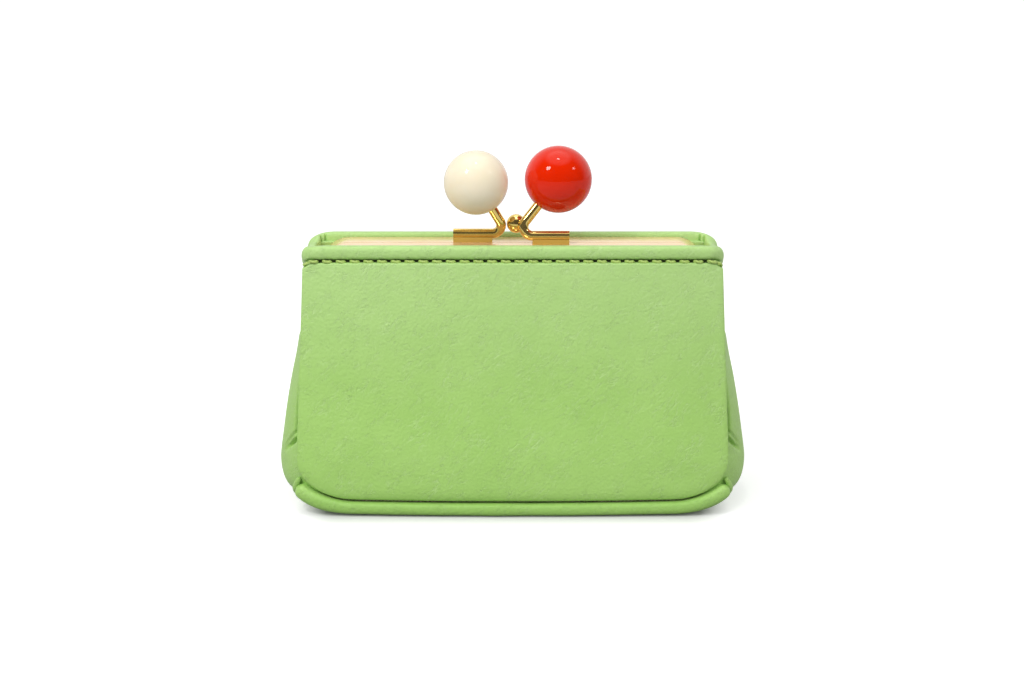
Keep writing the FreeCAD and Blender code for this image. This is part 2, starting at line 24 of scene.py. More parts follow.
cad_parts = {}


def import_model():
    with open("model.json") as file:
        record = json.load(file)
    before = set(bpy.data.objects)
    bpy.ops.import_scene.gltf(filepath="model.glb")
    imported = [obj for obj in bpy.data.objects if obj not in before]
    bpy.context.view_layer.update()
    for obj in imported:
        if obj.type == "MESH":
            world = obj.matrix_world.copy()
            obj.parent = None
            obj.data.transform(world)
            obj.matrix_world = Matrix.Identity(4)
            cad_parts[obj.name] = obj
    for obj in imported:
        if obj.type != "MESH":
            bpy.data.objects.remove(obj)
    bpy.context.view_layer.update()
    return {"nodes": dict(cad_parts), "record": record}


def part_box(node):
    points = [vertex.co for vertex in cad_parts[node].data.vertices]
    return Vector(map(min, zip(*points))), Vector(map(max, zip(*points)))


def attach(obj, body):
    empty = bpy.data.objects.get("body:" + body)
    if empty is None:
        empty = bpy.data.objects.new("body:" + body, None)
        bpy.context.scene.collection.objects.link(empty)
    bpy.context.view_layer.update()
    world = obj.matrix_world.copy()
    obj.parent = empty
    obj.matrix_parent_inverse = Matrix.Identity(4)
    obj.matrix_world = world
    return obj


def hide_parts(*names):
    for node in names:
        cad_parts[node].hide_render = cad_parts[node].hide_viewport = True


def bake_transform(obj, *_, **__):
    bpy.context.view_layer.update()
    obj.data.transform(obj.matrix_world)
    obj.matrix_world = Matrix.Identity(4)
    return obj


LOG = logging.getLogger("purse")
MM = 0.001
UP = Vector((0.0, 0.0, 1.0))
QUARTER = math.pi / 2.0
WHITE = (1.0, 1.0, 1.0, 1.0)
RGBA = {"data_type": "RGBA"}
SMOOTH = {"interpolation_type": "SMOOTHSTEP"}


class Half(Enum):
    """The two halves of the purse, each hung on one half of its frame."""

    FRONT = "front"
    BACK = "back"

    @property
    def body(self) -> str:
        """Name of the body that carries this half."""
        return f"{self.value}_half"

    @property
    def sign(self) -> float:
        """1 for the front, where pieces are shaped, and -1 for the back."""
        return 1.0 if self is Half.FRONT else -1.0

    @property
    def turn(self) -> float:
        """Angle about Z that takes a front piece to this half."""
        return 0.0 if self is Half.FRONT else math.pi


class Side(Enum):
    """The two ends of the purse, as its front is seen."""

    LEFT = "left"
    RIGHT = "right"

    @property
    def sign(self) -> float:
        """Which way this side lies along X."""
        return -1.0 if self is Side.LEFT else 1.0


class Slot(Enum):
    """Material slots of the record."""

    LEATHER = "green_leather"
    GOLD = "gold_metal"
    BOARD = "stiffener_board"
    LINING = "lining_cloth"
    CORD = "filler_cord"
    RED = "red_bead"
    IVORY = "ivory_bead"


# Small sums


def smoothstep(low: float, high: float, value: float) -> float:
    """Ease from 0 at low to 1 at high, whichever of the two is larger."""
    share = min(max((value - low) / (high - low), 0.0), 1.0)
    return share * share * (3.0 - 2.0 * share)


def ridge(value: float, centre: float, width: float) -> float:
    """A soft ridge of height 1 about a centre, which falls to about a third at its width."""
    return math.exp(-(((value - centre) / width) ** 2))


def crowd(share: float, power: float = 1.5) -> float:
    """Move a share from -1 to 1 so that even steps grow finer towards both ends."""
    return math.copysign(1.0 - (1.0 - abs(share)) ** power, share)


def waver(place: Vector, size: float, height: float) -> float:
    """A slow uneven swell of about that size and height, the same on every run."""
    return height * noise.noise(place / size)


def box_mm(node: str) -> tuple[Vector, Vector]:
    """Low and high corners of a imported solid, in millimetres."""
    low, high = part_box(node)
    return low / MM, high / MM


# Finishes


def linear(code: str) -> tuple[float, float, float, float]:
    """Turn an sRGB hex colour into linear light.

    Args:
        code: Colour such as "#A6CE76".

    Returns:
        Red, green, blue and alpha.
    """
    parts = [int(code[i : i + 2], 16) / 255.0 for i in (1, 3, 5)]
    curve = [c / 12.92 if c <= 0.04045 else ((c + 0.055) / 1.055) ** 2.4 for c in parts]
    return (curve[0], curve[1], curve[2], 1.0)


def per_mm(spacing: float) -> float:
    """Texture scale that repeats a pattern about every so many millimetres."""
    return 1.0 / (spacing * MM)


def plug(tree: NodeTree, node: Node, inputs: Mapping[str | int, object]) -> None:
    """Set a node's sockets, or link those that get another node's output.

    Args:
        tree: Node tree of the node.
        node: The node.
        inputs: Value or output socket for each socket.
    """
    for name, value in inputs.items():
        if isinstance(value, NodeSocket):
            tree.links.new(value, node.inputs[name])
        else:
            node.inputs[name].default_value = value


def add_node(
    tree: NodeTree,
    kind: str,
    inputs: Mapping[str | int, object] | None = None,
    out: str | int = 0,
    **settings: object,
) -> NodeSocket:
    """Add a shader node with its settings and links.

    Args:
        tree: Node tree that gets the node.
        kind: Blender's type name of the node, after its common beginning.
        inputs: Value or output socket for each of its sockets.
        out: Which of its outputs is wanted.
        settings: Properties to set on the node.

    Returns:
        That output.
    """
    node = tree.nodes.new(f"ShaderNode{kind}")
    for name, value in settings.items():
        setattr(node, name, value)
    plug(tree, node, inputs or {})
    return node.outputs[out]


@dataclass(frozen=True)
class Finish:
    """A surface finish, which dresses one principled shader."""

    name: str

    def dress(self, tree: NodeTree) -> Mapping[str, object]:
        """Add this finish's pattern nodes and say what the shader's sockets get."""
        raise NotImplementedError

    def mottle(
        self, tree: NodeTree, size: float, first: str, second: str, **look: float
    ) -> tuple[NodeSocket, NodeSocket]:
        """Lay soft patches of two colours.

        Args:
            tree: Node tree of the material.
            size: Rough width of the patches.
            first: Colour where the patches' noise is low.
            second: Colour where it is high.
            look: Further inputs of the noise.

        Returns:
            The noise, from 0 to 1, and the colour.
        """
        place = add_node(tree, "TexCoord", out="Object")
        patches = add_node(tree, "TexNoise", {"Vector": place, "Scale": per_mm(size), **look}, "Fac")
        tones = {0: patches, 6: linear(first), 7: linear(second)}
        return patches, add_node(tree, "Mix", tones, 2, **RGBA)


@functools.cache
def material_of(finish: Finish) -> Material:
    """Make the material of a finish, once.

    Args:
        finish: The finish to make.

    Returns:
        Its material.
    """
    material = bpy.data.materials.new(finish.name)
    material.use_nodes = True
    tree = material.node_tree
    plug(tree, tree.nodes["Principled BSDF"], finish.dress(tree))
    return material


@dataclass(frozen=True)
class Toning:
    """Leather toned towards a colour from one height to another."""

    start: float
    end: float
    share: float
    colour: str


@dataclass(frozen=True)
class CrinkledLeather(Finish):
    """Aniline calf leather, drum dyed and lightly milled.

    Milling leaves long fine creases that run one way, a faint grain and soft dents, and the dye
    takes a little unevenly, so the eye gets a soft sheen broken by pale hair lines. The real
    grain is too fine to show, so it is drawn at nearly a millimetre. A relief is its strength
    and its depth.
    """

    light: str = "#C2E19C"
    middle: str = "#A6D070"
    deep: str = "#9ECA67"
    # Painted sheen: the leather is paled towards the top, standing in for the sheen of light from above.
    painted_sheen_above: Toning = Toning(25.0, 76.0, 0.2, "#D2E6B8")
    # Painted shade: the leather is darkened near the floor, standing in for the shade low on the purse.
    painted_shade_below: Toning = Toning(7.5, 3.5, 0.5, "#86B551")
    crease_length: float = 7.0
    crease_spacing: float = 1.8
    crease_turn: float = math.radians(48.0)
    crease_width: float = 0.03
    crease_patch: float = 7.0
    crease_share: float = 0.36
    fine_crease: float = 0.55
    grain: float = 0.85
    dent: float = 5.5
    cloud: float = 22.0
    dent_relief: tuple[float, float] = (0.4, 0.25)
    grain_relief: tuple[float, float] = (0.7, 0.16)
    crease_relief: tuple[float, float] = (0.68, 0.11)
    rough_low: float = 0.42
    rough_high: float = 0.52
    shine: float = 0.55

    def creases(self, tree: NodeTree, place: NodeSocket, size: float) -> NodeSocket:
        """Add one layer of hair lines, broken up so that none runs far.

        Args:
            tree: Node tree of the material.
            place: Coordinates in metres.
            size: Scale of the layer, where 1 is the largest.

        Returns:
            A value that is 1 on a line and 0 between lines.
        """
        turn = (0.0, self.crease_turn * (0.75 + 0.25 * size), 0.0)
        turned = add_node(tree, "Mapping", {"Vector": place, "Rotation": turn})
        along, apart = per_mm(self.crease_length * size), per_mm(self.crease_spacing * size)
        stretched = add_node(tree, "Mapping", {"Vector": turned, "Scale": (along, along, apart)})
        look = {"Scale": 1.0, "Detail": 3.0, "Roughness": 0.55, "Distortion": 0.7}
        swells = add_node(tree, "TexNoise", {"Vector": stretched, **look}, "Fac")
        middle = add_node(tree, "Math", {0: swells, 1: 0.5}, operation="SUBTRACT")
        away = add_node(tree, "Math", {0: middle}, operation="ABSOLUTE")
        fall = {"Value": away, "From Max": self.crease_width, "To Min": 1.0, "To Max": 0.0}
        line = add_node(tree, "MapRange", fall, **SMOOTH)
        spots = {"Vector": place, "Scale": per_mm(self.crease_patch * size), "Detail": 2.0}
        patches = add_node(tree, "TexNoise", spots, "Fac")
        broken = add_node(tree, "MapRange", {"Value": patches, "From Min": 0.44, "From Max": 0.64})
        return add_node(tree, "Math", {0: line, 1: broken}, operation="MULTIPLY")

    def dress(self, tree: NodeTree) -> Mapping[str, object]:
        """Add creases, grain, soft dents, uneven dye, a painted sheen that pales the leather above and
        painted shade that darkens it near the floor.

        Args:
            tree: Node tree of the material.

        Returns:
            What the shader's sockets get.
        """
        place = add_node(tree, "TexCoord", out="Object")
        layers = {0: self.creases(tree, place, 1.0), 1: self.creases(tree, place, self.fine_crease)}
        lines = add_node(tree, "Math", layers, operation="MAXIMUM")
        cells = {"Vector": place, "Scale": per_mm(self.grain), "Smoothness": 0.6}
        grain = add_node(tree, "TexVoronoi", cells, "Distance", feature="SMOOTH_F1")
        soft = {"Vector": place, "Scale": per_mm(self.dent), "Detail": 2.0, "Roughness": 0.5}
        dents = add_node(tree, "TexNoise", soft, "Fac")
        wide = {"Vector": place, "Scale": per_mm(self.cloud), "Detail": 5.0, "Roughness": 0.65}
        cloud = add_node(tree, "TexNoise", wide, "Fac")
        spread = add_node(tree, "MapRange", {"Value": cloud, "From Min": 0.3, "From Max": 0.7})
        dye = {0: spread, 6: linear(self.deep), 7: linear(self.middle)}
        colour = add_node(tree, "Mix", dye, 2, **RGBA)
        paler = add_node(tree, "Math", {0: lines, 1: self.crease_share}, operation="MULTIPLY")
        colour = add_node(tree, "Mix", {0: paler, 6: colour, 7: linear(self.light)}, 2, **RGBA)
        height = add_node(tree, "SeparateXYZ", {"Vector": place}, "Z")
        # Painted sheen above and painted shade near the floor, mixed in by height.
        for tone in (self.painted_sheen_above, self.painted_shade_below):
            reach = {"From Min": tone.start * MM, "From Max": tone.end * MM, "To Max": tone.share}
            share = add_node(tree, "MapRange", {"Value": height, **reach}, **SMOOTH)
            colour = add_node(tree, "Mix", {0: share, 6: colour, 7: linear(tone.colour)}, 2, **RGBA)
        normal: dict[str, NodeSocket] = {}
        for form, (strength, depth), sunk in (
            (dents, self.dent_relief, False),
            (grain, self.grain_relief, False),
            (lines, self.crease_relief, True),
        ):
            relief = {"Height": form, "Strength": strength, "Distance": depth * MM, **normal}
            normal = {"Normal": add_node(tree, "Bump", relief, invert=sunk)}
        sheen = {"Value": spread, "To Min": self.rough_low, "To Max": self.rough_high}
        gloss = add_node(tree, "MapRange", sheen)
        return {"Base Color": colour, "Roughness": gloss, "Specular IOR Level": self.shine, **normal}


@dataclass(frozen=True)
class PolishedGold(Finish):
    """Brass, pressed or bent, buffed and gold plated.

    Buffing leaves a mirror with faint hazy wipes, so the eye gets bright and dark bands from
    the room with a warm tint.
    """

    tint: str = "#F5DC90"
    shade: str = "#E6C463"
    haze: float = 6.0
    rough_low: float = 0.06
    rough_high: float = 0.14
    metal: float = 0.9

    def dress(self, tree: NodeTree) -> Mapping[str, object]:
        """Add the hazy wipes of buffing.

        Args:
            tree: Node tree of the material.

        Returns:
            What the shader's sockets get.
        """
        wipes, colour = self.mottle(
            tree, self.haze, self.tint, self.shade, Detail=5.0, Roughness=0.65
        )
        span = {"From Min": 0.35, "From Max": 0.7, "To Min": self.rough_low, "To Max": self.rough_high}
        rough = add_node(tree, "MapRange", {"Value": wipes, **span})
        return {"Base Color": colour, "Roughness": rough, "Metallic": self.metal}


@dataclass(frozen=True)
class CastResin(Finish):
    """Cast polyester resin, turned to a ball and polished.

    The colour is in the resin, so the eye gets a deep even colour with slight clouds under a
    sharp glassy shine.
    """

    body: str = "#E02802"
    cloudy: str = "#D62201"
    cloud: float = 7.0
    shine: float = 0.25
    glow: float = 0.0
    glow_depth: float = 2.0

    def dress(self, tree: NodeTree) -> Mapping[str, object]:
        """Add the clouds in the resin and its polish.

        Args:
            tree: Node tree of the material.

        Returns:
            What the shader's sockets get.
        """
        clouds, colour = self.mottle(
            tree, self.cloud, self.body, self.cloudy, Detail=3.0, Distortion=0.8
        )
        return {
            "Base Color": colour,
            "Roughness": add_node(tree, "MapRange", {"Value": clouds, "To Min": 0.05, "To Max": 0.09}),
            "Specular IOR Level": self.shine,
            "Subsurface Weight": self.glow,
            "Subsurface Radius": (1.0, 0.75, 0.45),
            "Subsurface Scale": self.glow_depth * MM,
        }


@dataclass(frozen=True)
class TwistedThread(Finish):
    """Bonded polyester thread, two plies twisted.

    The plies shine a little along their fibres, so the eye gets short glossy strokes with
    darker furrows. The fibres are drawn far coarser than they are, so that they show.
    """

    light: str = "#BFD97E"
    dark: str = "#8CA548"
    fibre: float = 0.35
    relief: float = 0.05

    def dress(self, tree: NodeTree) -> Mapping[str, object]:
        """Add the fibres of the plies.

        Args:
            tree: Node tree of the material.

        Returns:
            What the shader's sockets get.
        """
        fibres, colour = self.mottle(tree, self.fibre, self.dark, self.light, Detail=2.0)
        bump = {"Height": fibres, "Strength": 0.3, "Distance": self.relief * MM}
        return {"Base Color": colour, "Roughness": 0.42, "Normal": add_node(tree, "Bump", bump)}


@dataclass(frozen=True)
class TwillCloth(Finish):
    """Cotton twill, woven with slanting ribs.

    The ribs are about 0.6 mm apart, so the eye gets a matt cloth with a fine slant. At a scale
    of 1 Blender's waves lie a twentieth of tau apart.
    """

    rib: str = "#E6DAC0"
    furrow: str = "#CDBD9C"
    spacing: float = 0.62
    slant: tuple[float, float, float] = (math.radians(20.0), math.radians(35.0), 0.0)
    relief: float = 0.1

    def dress(self, tree: NodeTree) -> Mapping[str, object]:
        """Add the slanting ribs and uneven yarn.

        Args:
            tree: Node tree of the material.

        Returns:
            What the shader's sockets get.
        """
        place = add_node(tree, "TexCoord", out="Object")
        turned = add_node(tree, "Mapping", {"Vector": place, "Rotation": self.slant})
        look = {"Scale": per_mm(self.spacing) * math.tau / 20.0, "Distortion": 1.2, "Detail": 2.0}
        wave = {"bands_direction": "Z", "wave_profile": "SIN"}
        ribs = add_node(tree, "TexWave", {"Vector": turned, **look}, "Fac", **wave)
        yarn = {0: ribs, 6: linear(self.furrow), 7: linear(self.rib)}
        bump = {"Height": ribs, "Strength": 0.4, "Distance": self.relief * MM}
        return {
            "Base Color": add_node(tree, "Mix", yarn, 2, **RGBA),
            "Normal": add_node(tree, "Bump", bump),
            "Roughness": 0.85,
            "Sheen Weight": 0.2,
        }


@dataclass(frozen=True)
class FibreBoard(Finish):
    """Pressed fibre board, soft cotton filler, and the painted shade in the seams under the rims.

    Loose fibres give the eye a matt speckle.
    """

    pale: str = "#B59E7C"
    dark: str = "#8E7654"
    fleck: float = 1.4

    def dress(self, tree: NodeTree) -> Mapping[str, object]:
        """Add the fibre speckle."""
        _, colour = self.mottle(tree, self.fleck, self.dark, self.pale, Detail=4.0)
        return {"Base Color": colour, "Roughness": 0.9}


@dataclass(frozen=True)
class MattTable(Finish):
    """Matt white lacquer, sprayed on a table top.

    It gives the eye a plain white ground. Bounced light finds it grey, so that little of it shines up on
    the leather. Away from a box round the purse it glows up to white, and inside the box it stays a
    paler grey, which paints a shadow zone round the purse.
    """

    lit: str = "#8C8C8C"
    seen: str = "#E4E4E4"
    mirrored: float = 0.5
    shadow_core: tuple[float, float] = (50.0, 14.0)
    shadow_ahead: float = 8.0
    shadow_from: float = 4.5
    shadow_to: float = 14.0
    far_lift: float = 0.5

    def dress(self, tree: NodeTree) -> Mapping[str, object]:
        """Add what the camera and the polished pieces see of the table.

        Args:
            tree: Node tree of the material.

        Returns:
            What the shader's sockets get.
        """
        glossy = add_node(tree, "LightPath", out="Is Glossy Ray")
        part_seen = add_node(tree, "Math", {0: glossy, 1: self.mirrored}, operation="MULTIPLY")
        camera = add_node(tree, "LightPath", out="Is Camera Ray")
        seen = add_node(tree, "Math", {0: camera, 1: part_seen}, operation="MAXIMUM")
        paint = {0: seen, 6: linear(self.lit), 7: linear(self.seen)}
        core = (self.shadow_core[0] * MM, self.shadow_core[1] * MM, 0.0)
        spot = add_node(tree, "TexCoord", out="Object")
        for operation, other in (
            ("ADD", (0.0, self.shadow_ahead * MM, 0.0)),
            ("ABSOLUTE", Vector()),
            ("SUBTRACT", core),
            ("MAXIMUM", Vector()),
        ):
            spot = add_node(tree, "VectorMath", {0: spot, 1: other}, operation=operation)
        away = add_node(tree, "VectorMath", {0: spot}, "Value", operation="LENGTH")
        # Painted shadow zone: the glow is left out in a box round the purse, so the floor there stays
        # grey; farther out it whitens shadow too.
        reach = {"From Min": self.shadow_from * MM, "From Max": self.shadow_to * MM}
        lift = add_node(tree, "MapRange", {"Value": away, **reach, "To Max": self.far_lift})
        return {
            "Base Color": add_node(tree, "Mix", paint, 2, **RGBA),
            "Roughness": 0.9,
            "Specular IOR Level": 0.0,
            "Emission Color": WHITE,
            "Emission Strength": add_node(tree, "Math", {0: seen, 1: lift}, operation="MULTIPLY"),
        }


LEATHER = CrinkledLeather("crinkled_calf_leather")
GOLD = PolishedGold("polished_gold_plate")
SATIN_GOLD = PolishedGold(
    "satin_gold_plate", tint="#F3D27A", shade="#E2BA58", rough_low=0.28, rough_high=0.4, metal=0.62
)
RAIL_GOLD = PolishedGold(
    "lacquered_gold_rail", tint="#FFE3B4", shade="#FACF94", rough_low=0.14, rough_high=0.24, metal=0.5
)
RED_RESIN = CastResin("polished_red_resin")
IVORY_RESIN = CastResin("polished_ivory_resin", body="#F4EAD2", cloudy="#EFE2C4", glow=0.12)
THREAD = TwistedThread("twisted_polyester_thread")
LINING = TwillCloth("cotton_twill_lining")
BOARD = FibreBoard("pressed_fibre_board")
FILLER = FibreBoard("cotton_filler_cord", pale="#EAE5D8", dark="#D2CBB8", fleck=0.8)
# Painted shade: a near-black green that stands for the shade in the seam groove between the stitches.
SEAM_SHADE = FibreBoard("painted_seam_shade", pale="#27340F", dark="#141C06", fleck=0.8)
TABLE = MattTable("matt_white_table")


# Making meshes


@dataclass
class Blank:
    """A mesh in the making, in millimetres."""

    name: str
    bm: BMesh = field(default_factory=bmesh.new)

    def grid(self, columns: int, rows: int, shape: Callable[[float, float], Vector]) -> None:
        """Lay a grid and shape it.

        Args:
            columns: Cells across.
            rows: Cells down.
            shape: Place of a point from its shares across and up, each from -1 to 1.
        """
        bmesh.ops.create_grid(self.bm, x_segments=columns, y_segments=rows, size=1.0)
        self.move(lambda spot: shape(spot.x, spot.y))

    def move(self, shape: Callable[[Vector], Vector]) -> None:
        """Move every vertex to where a function takes it."""
        for vert in self.bm.verts:
            vert.co = shape(vert.co.copy())

    def face(self, outwards: Vector) -> None:
        """Turn an open sheet's faces so that they point outwards on the whole.

        Args:
            outwards: Direction away from the purse's inside.
        """
        self.bm.normal_update()
        total = sum((face.normal * face.calc_area() for face in self.bm.faces), Vector())
        if total.dot(outwards) < 0.0:
            bmesh.ops.reverse_faces(self.bm, faces=self.bm.faces)

    def close(self) -> None:
        """Merge doubled points of a closed shape and point its faces outwards."""
        bmesh.ops.remove_doubles(self.bm, verts=self.bm.verts, dist=0.001)
        bmesh.ops.recalc_face_normals(self.bm, faces=self.bm.faces)

    def done(
        self,
        finish: Finish,
        slot: Slot | None = None,
        turn: float = 0.0,
        wall: float = 0.0,
        levels: int = 1,
    ) -> Object:
        """Make the object, in metres.

        Args:
            finish: Finish of the piece.
            slot: Record slot that the finish stands for; it is not used.
            turn: Angle about Z, for a piece of the back half.
            wall: Thickness to add inwards to an open sheet.
            levels: Subdivision levels.

        Returns:
            The finished object.
        """
        bmesh.ops.rotate(self.bm, verts=self.bm.verts, matrix=Matrix.Rotation(turn, 3, "Z"))
        bmesh.ops.scale(self.bm, verts=self.bm.verts, vec=(MM, MM, MM))
        mesh = bpy.data.meshes.new(self.name)
        self.bm.to_mesh(mesh)
        self.bm.free()
        mesh.polygons.foreach_set("use_smooth", [True] * len(mesh.polygons))
        mesh.materials.append(material_of(finish))
        piece = bpy.data.objects.new(self.name, mesh)
        bpy.context.scene.collection.objects.link(piece)
        if wall:
            solid = piece.modifiers.new("wall", "SOLIDIFY")
            solid.thickness = wall * MM
            solid.offset = -1.0
        if levels:
            smooth = piece.modifiers.new("smooth", "SUBSURF")
            smooth.levels = smooth.render_levels = levels
        return piece


@dataclass
class Sweep(Blank):
    """A blank that grows by moving one ring of edges along."""

    ring: list[BMEdge] = field(default_factory=list)

    def start(self, segments: int, place: Matrix, outer: float = 2.0, inner: float = 2.0) -> None:
        """Lay the first ring.

        Args:
            segments: Points round the ring.
            place: Scale, turn and place of a unit circle in its XY plane.
            outer: How square the ring is on its +X side, where 2 is round.
            inner: How square the ring is on its -X side.
        """
        made = bmesh.ops.create_circle(self.bm, cap_ends=False, radius=1.0, segments=segments)
        self.ring = list({edge for vert in made["verts"] for edge in vert.link_edges})
        for vert in made["verts"]:
            share = 2.0 / (outer if vert.co.x > 0.0 else inner)
            vert.co.x = math.copysign(abs(vert.co.x) ** share, vert.co.x)
            vert.co.y = math.copysign(abs(vert.co.y) ** share, vert.co.y)
        bmesh.ops.transform(self.bm, matrix=place, verts=made["verts"])

    def ring_verts(self) -> list[BMVert]:
        """Points of the ring that grows."""
        return list({vert for edge in self.ring for vert in edge.verts})

    def straight(self, step: Vector, count: int = 1, shrink: float = 1.0) -> None:
        """Extrude the ring in even steps.

        Args:
            step: Move of each step.
            count: Number of steps.
            shrink: Scale of the ring about its middle at each step.
        """
        for _ in range(count):
            grown = bmesh.ops.extrude_edge_only(self.bm, edges=self.ring)["geom"]
            verts = {item for item in grown if isinstance(item, BMVert)}
            edges = (item for item in grown if isinstance(item, BMEdge))
            self.ring = [edge for edge in edges if verts.issuperset(edge.verts)]
            bmesh.ops.translate(self.bm, verts=list(verts), vec=step)
            if shrink != 1.0:
                middle = sum((vert.co for vert in verts), Vector()) / len(verts)
                about = Matrix.Translation(-middle)
                bmesh.ops.scale(self.bm, verts=list(verts), vec=(shrink,) * 3, space=about)

    def run(self, way: Vector, length: float, fine: float, fine_count: int, count: int) -> None:
        """Extrude the ring along a run that is finer at both ends.

        Args:
            way: Direction of the run.
            length: Length of the run.
            fine: Length of a fine step.
            fine_count: Number of fine steps at each end.
            count: Number of the even steps between.
        """
        even = (length - 2.0 * fine * fine_count) / count
        for step, steps in ((fine, fine_count), (even, count), (fine, fine_count)):
            self.straight(way * step, steps)

    def turn(self, centre: Vector, axis: Vector, angle: float, steps: int) -> None:
        """Spin the ring round an axis.

        Args:
            centre: Point on the axis.
            axis: Direction of the axis.
            angle: Angle of the whole turn.
            steps: Number of steps.
        """
        spun = bmesh.ops.spin(
            self.bm, geom=self.ring, cent=centre, axis=axis, angle=angle, steps=steps, use_merge=False
        )
        self.ring = [item for item in spun["geom_last"] if isinstance(item, BMEdge)]

    def round_ends(self, ends: Iterable[tuple[list[BMEdge], Vector]], shrinks: Sequence[float]) -> None:
        """Round the open ends off and fill them.

        Args:
            ends: Ring and step of each end.
            shrinks: Scale of the ring at each step.
        """
        for ring, step in ends:
            self.ring = ring
            for shrink in shrinks:
                self.straight(step, 1, shrink)
        self.cap()

    def cap(self) -> None:
        """Fill every open end."""
        edges = [edge for edge in self.bm.edges if edge.is_boundary]
        bmesh.ops.holes_fill(self.bm, edges=edges, sides=0)

    def lay_oval(self, segments: int, straight: float, radius: float, height: float) -> list[BMFace]:
        """Lay a flat oval, with its edge as the first ring.

        Args:
            segments: Points round the oval.
            straight: Half the straight length between its round ends.
            radius: Radius of its round ends.
            height: Height above the floor.

        Returns:
            The oval's face.
        """
        self.start(segments, Matrix.Diagonal((radius, radius, 1.0, 1.0)))
        for vert in self.bm.verts:
            vert.co.x += math.copysign(straight, vert.co.x) if abs(vert.co.x) > 0.01 else 0.0
            vert.co.z = height
        return bmesh.ops.contextual_create(self.bm, geom=self.ring_verts())["faces"]

    def grow_oval(self, straight: float, radius: float, height: float) -> None:
        """Extrude an oval's edge to a wider or narrower one.

        Args:
            straight: Half the straight length between its round ends.
            radius: Radius of its round ends.
            height: Height above the floor.
        """
        self.straight(Vector())
        for vert in self.ring_verts():
            middle = Vector((max(min(vert.co.x, straight), -straight), 0.0, 0.0))
            out = Vector((vert.co.x - middle.x, vert.co.y, 0.0)).normalized() * radius
            vert.co = middle + out + UP * height


# The form that all the leather follows


@dataclass(frozen=True)
class PurseForm:
    """Main sizes of the leather body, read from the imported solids."""

    half_width: float
    foot_half: float
    half_mouth: float
    half_base: float
    rim_top: float
    rim_foot: float
    foot: float
    base_half_length: float
    base_half_depth: float
    gusset_top: float
    gusset_reach: float
    corner_flare: float = 0.5
    reach_slack: float = 0.6
    corner_wide: float = 17.0
    corner_high: float = 12.0
    foot_bow: float = 1.4
    foot_bow_height: float = 34.0
    edge_bow: float = 0.4
    edge_bow_height: float = 14.0
    edge_early: float = 1.2
    seam_rise: float = 1.3
    seam_dip: float = 1.5
    dip_width: float = 3.4
    fold_foot: float = 52.0
    fold_top: float = 68.36
    fold_ahead: float = 13.48

    @classmethod
    def from_frame(cls) -> PurseForm:
        """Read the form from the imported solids.

        Returns:
            The form.
        """
        rim_low, rim_high = box_mm("front_rim")
        panel_low, panel_high = box_mm("front_panel")
        _, base_high = box_mm("base_panel")
        _, gusset_high = box_mm("right_gusset")
        return cls(
            half_width=rim_high.x,
            foot_half=panel_high.x + cls.corner_flare,
            half_mouth=-rim_low.y,
            half_base=-panel_low.y,
            rim_top=rim_high.z,
            rim_foot=rim_low.z,
            foot=base_high.z,
            base_half_length=base_high.x,
            base_half_depth=base_high.y,
            gusset_top=gusset_high.z,
            gusset_reach=gusset_high.x - cls.reach_slack,
        )

    @property
    def rise(self) -> float:
        """Height of the panels from the base to the rims."""
        return self.rim_foot - self.foot

    @property
    def normal(self) -> Vector:
        """Outward normal of the front panel."""
        return Vector((0.0, -self.rise, self.half_base - self.half_mouth)).normalized()

    def half_at(self, height: float) -> float:
        """Half the width of a panel at a height above the floor."""
        share = (self.rim_foot - height) / self.rise
        return self.half_width + (self.foot_half - self.half_width) * share

    def face_y(self, height: float) -> float:
        """How far forward the front panel's face lies at a height, along -Y."""
        share = (self.rim_foot - height) / self.rise
        return -(self.half_mouth + (self.half_base - self.half_mouth) * share)

    def bow(self, x: float, height: float) -> Vector:
        """Find how a panel's soft foot bellies, ahead in its middle and up towards its corners.

        Args:
            x: Distance from the purse's middle.
            height: Height above the floor.

        Returns:
            The move from the flat panel.
        """
        foot = self.foot
        out = min(abs(x) / self.foot_half, 1.0)
        ahead = self.foot_bow * (1.0 - out**2) * smoothstep(foot + self.foot_bow_height, foot, height)
        lifted = min(self.edge_early * out, 1.0) ** 2
        rise = self.edge_bow * lifted * smoothstep(foot + self.edge_bow_height, foot, height)
        return Vector((0.0, -ahead, rise))

    def seam_at(self, x: float) -> float:
        """Height of the seam between rim and panel, which dips at both ends."""
        dip = self.seam_dip * smoothstep(self.half_width - self.dip_width, self.half_width, abs(x))
        return self.rim_foot + self.seam_rise - dip

    def blend(self, piece: Object, half: Half) -> Object:
        """Bake a piece's place into its mesh; nothing here lets it bend along the hinges.

        Args:
            piece: Finished piece that crosses the hinges.
            half: Half that it belongs to.

        Returns:
            The piece.
        """
        start = Vector((0.0, 0.0, self.fold_foot)) * MM
        end = Vector((0.0, -self.fold_ahead * half.sign, self.fold_top)) * MM
        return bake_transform(piece, "bag", half.body, start=tuple(start), end=tuple(end))


# The leather and lining pieces


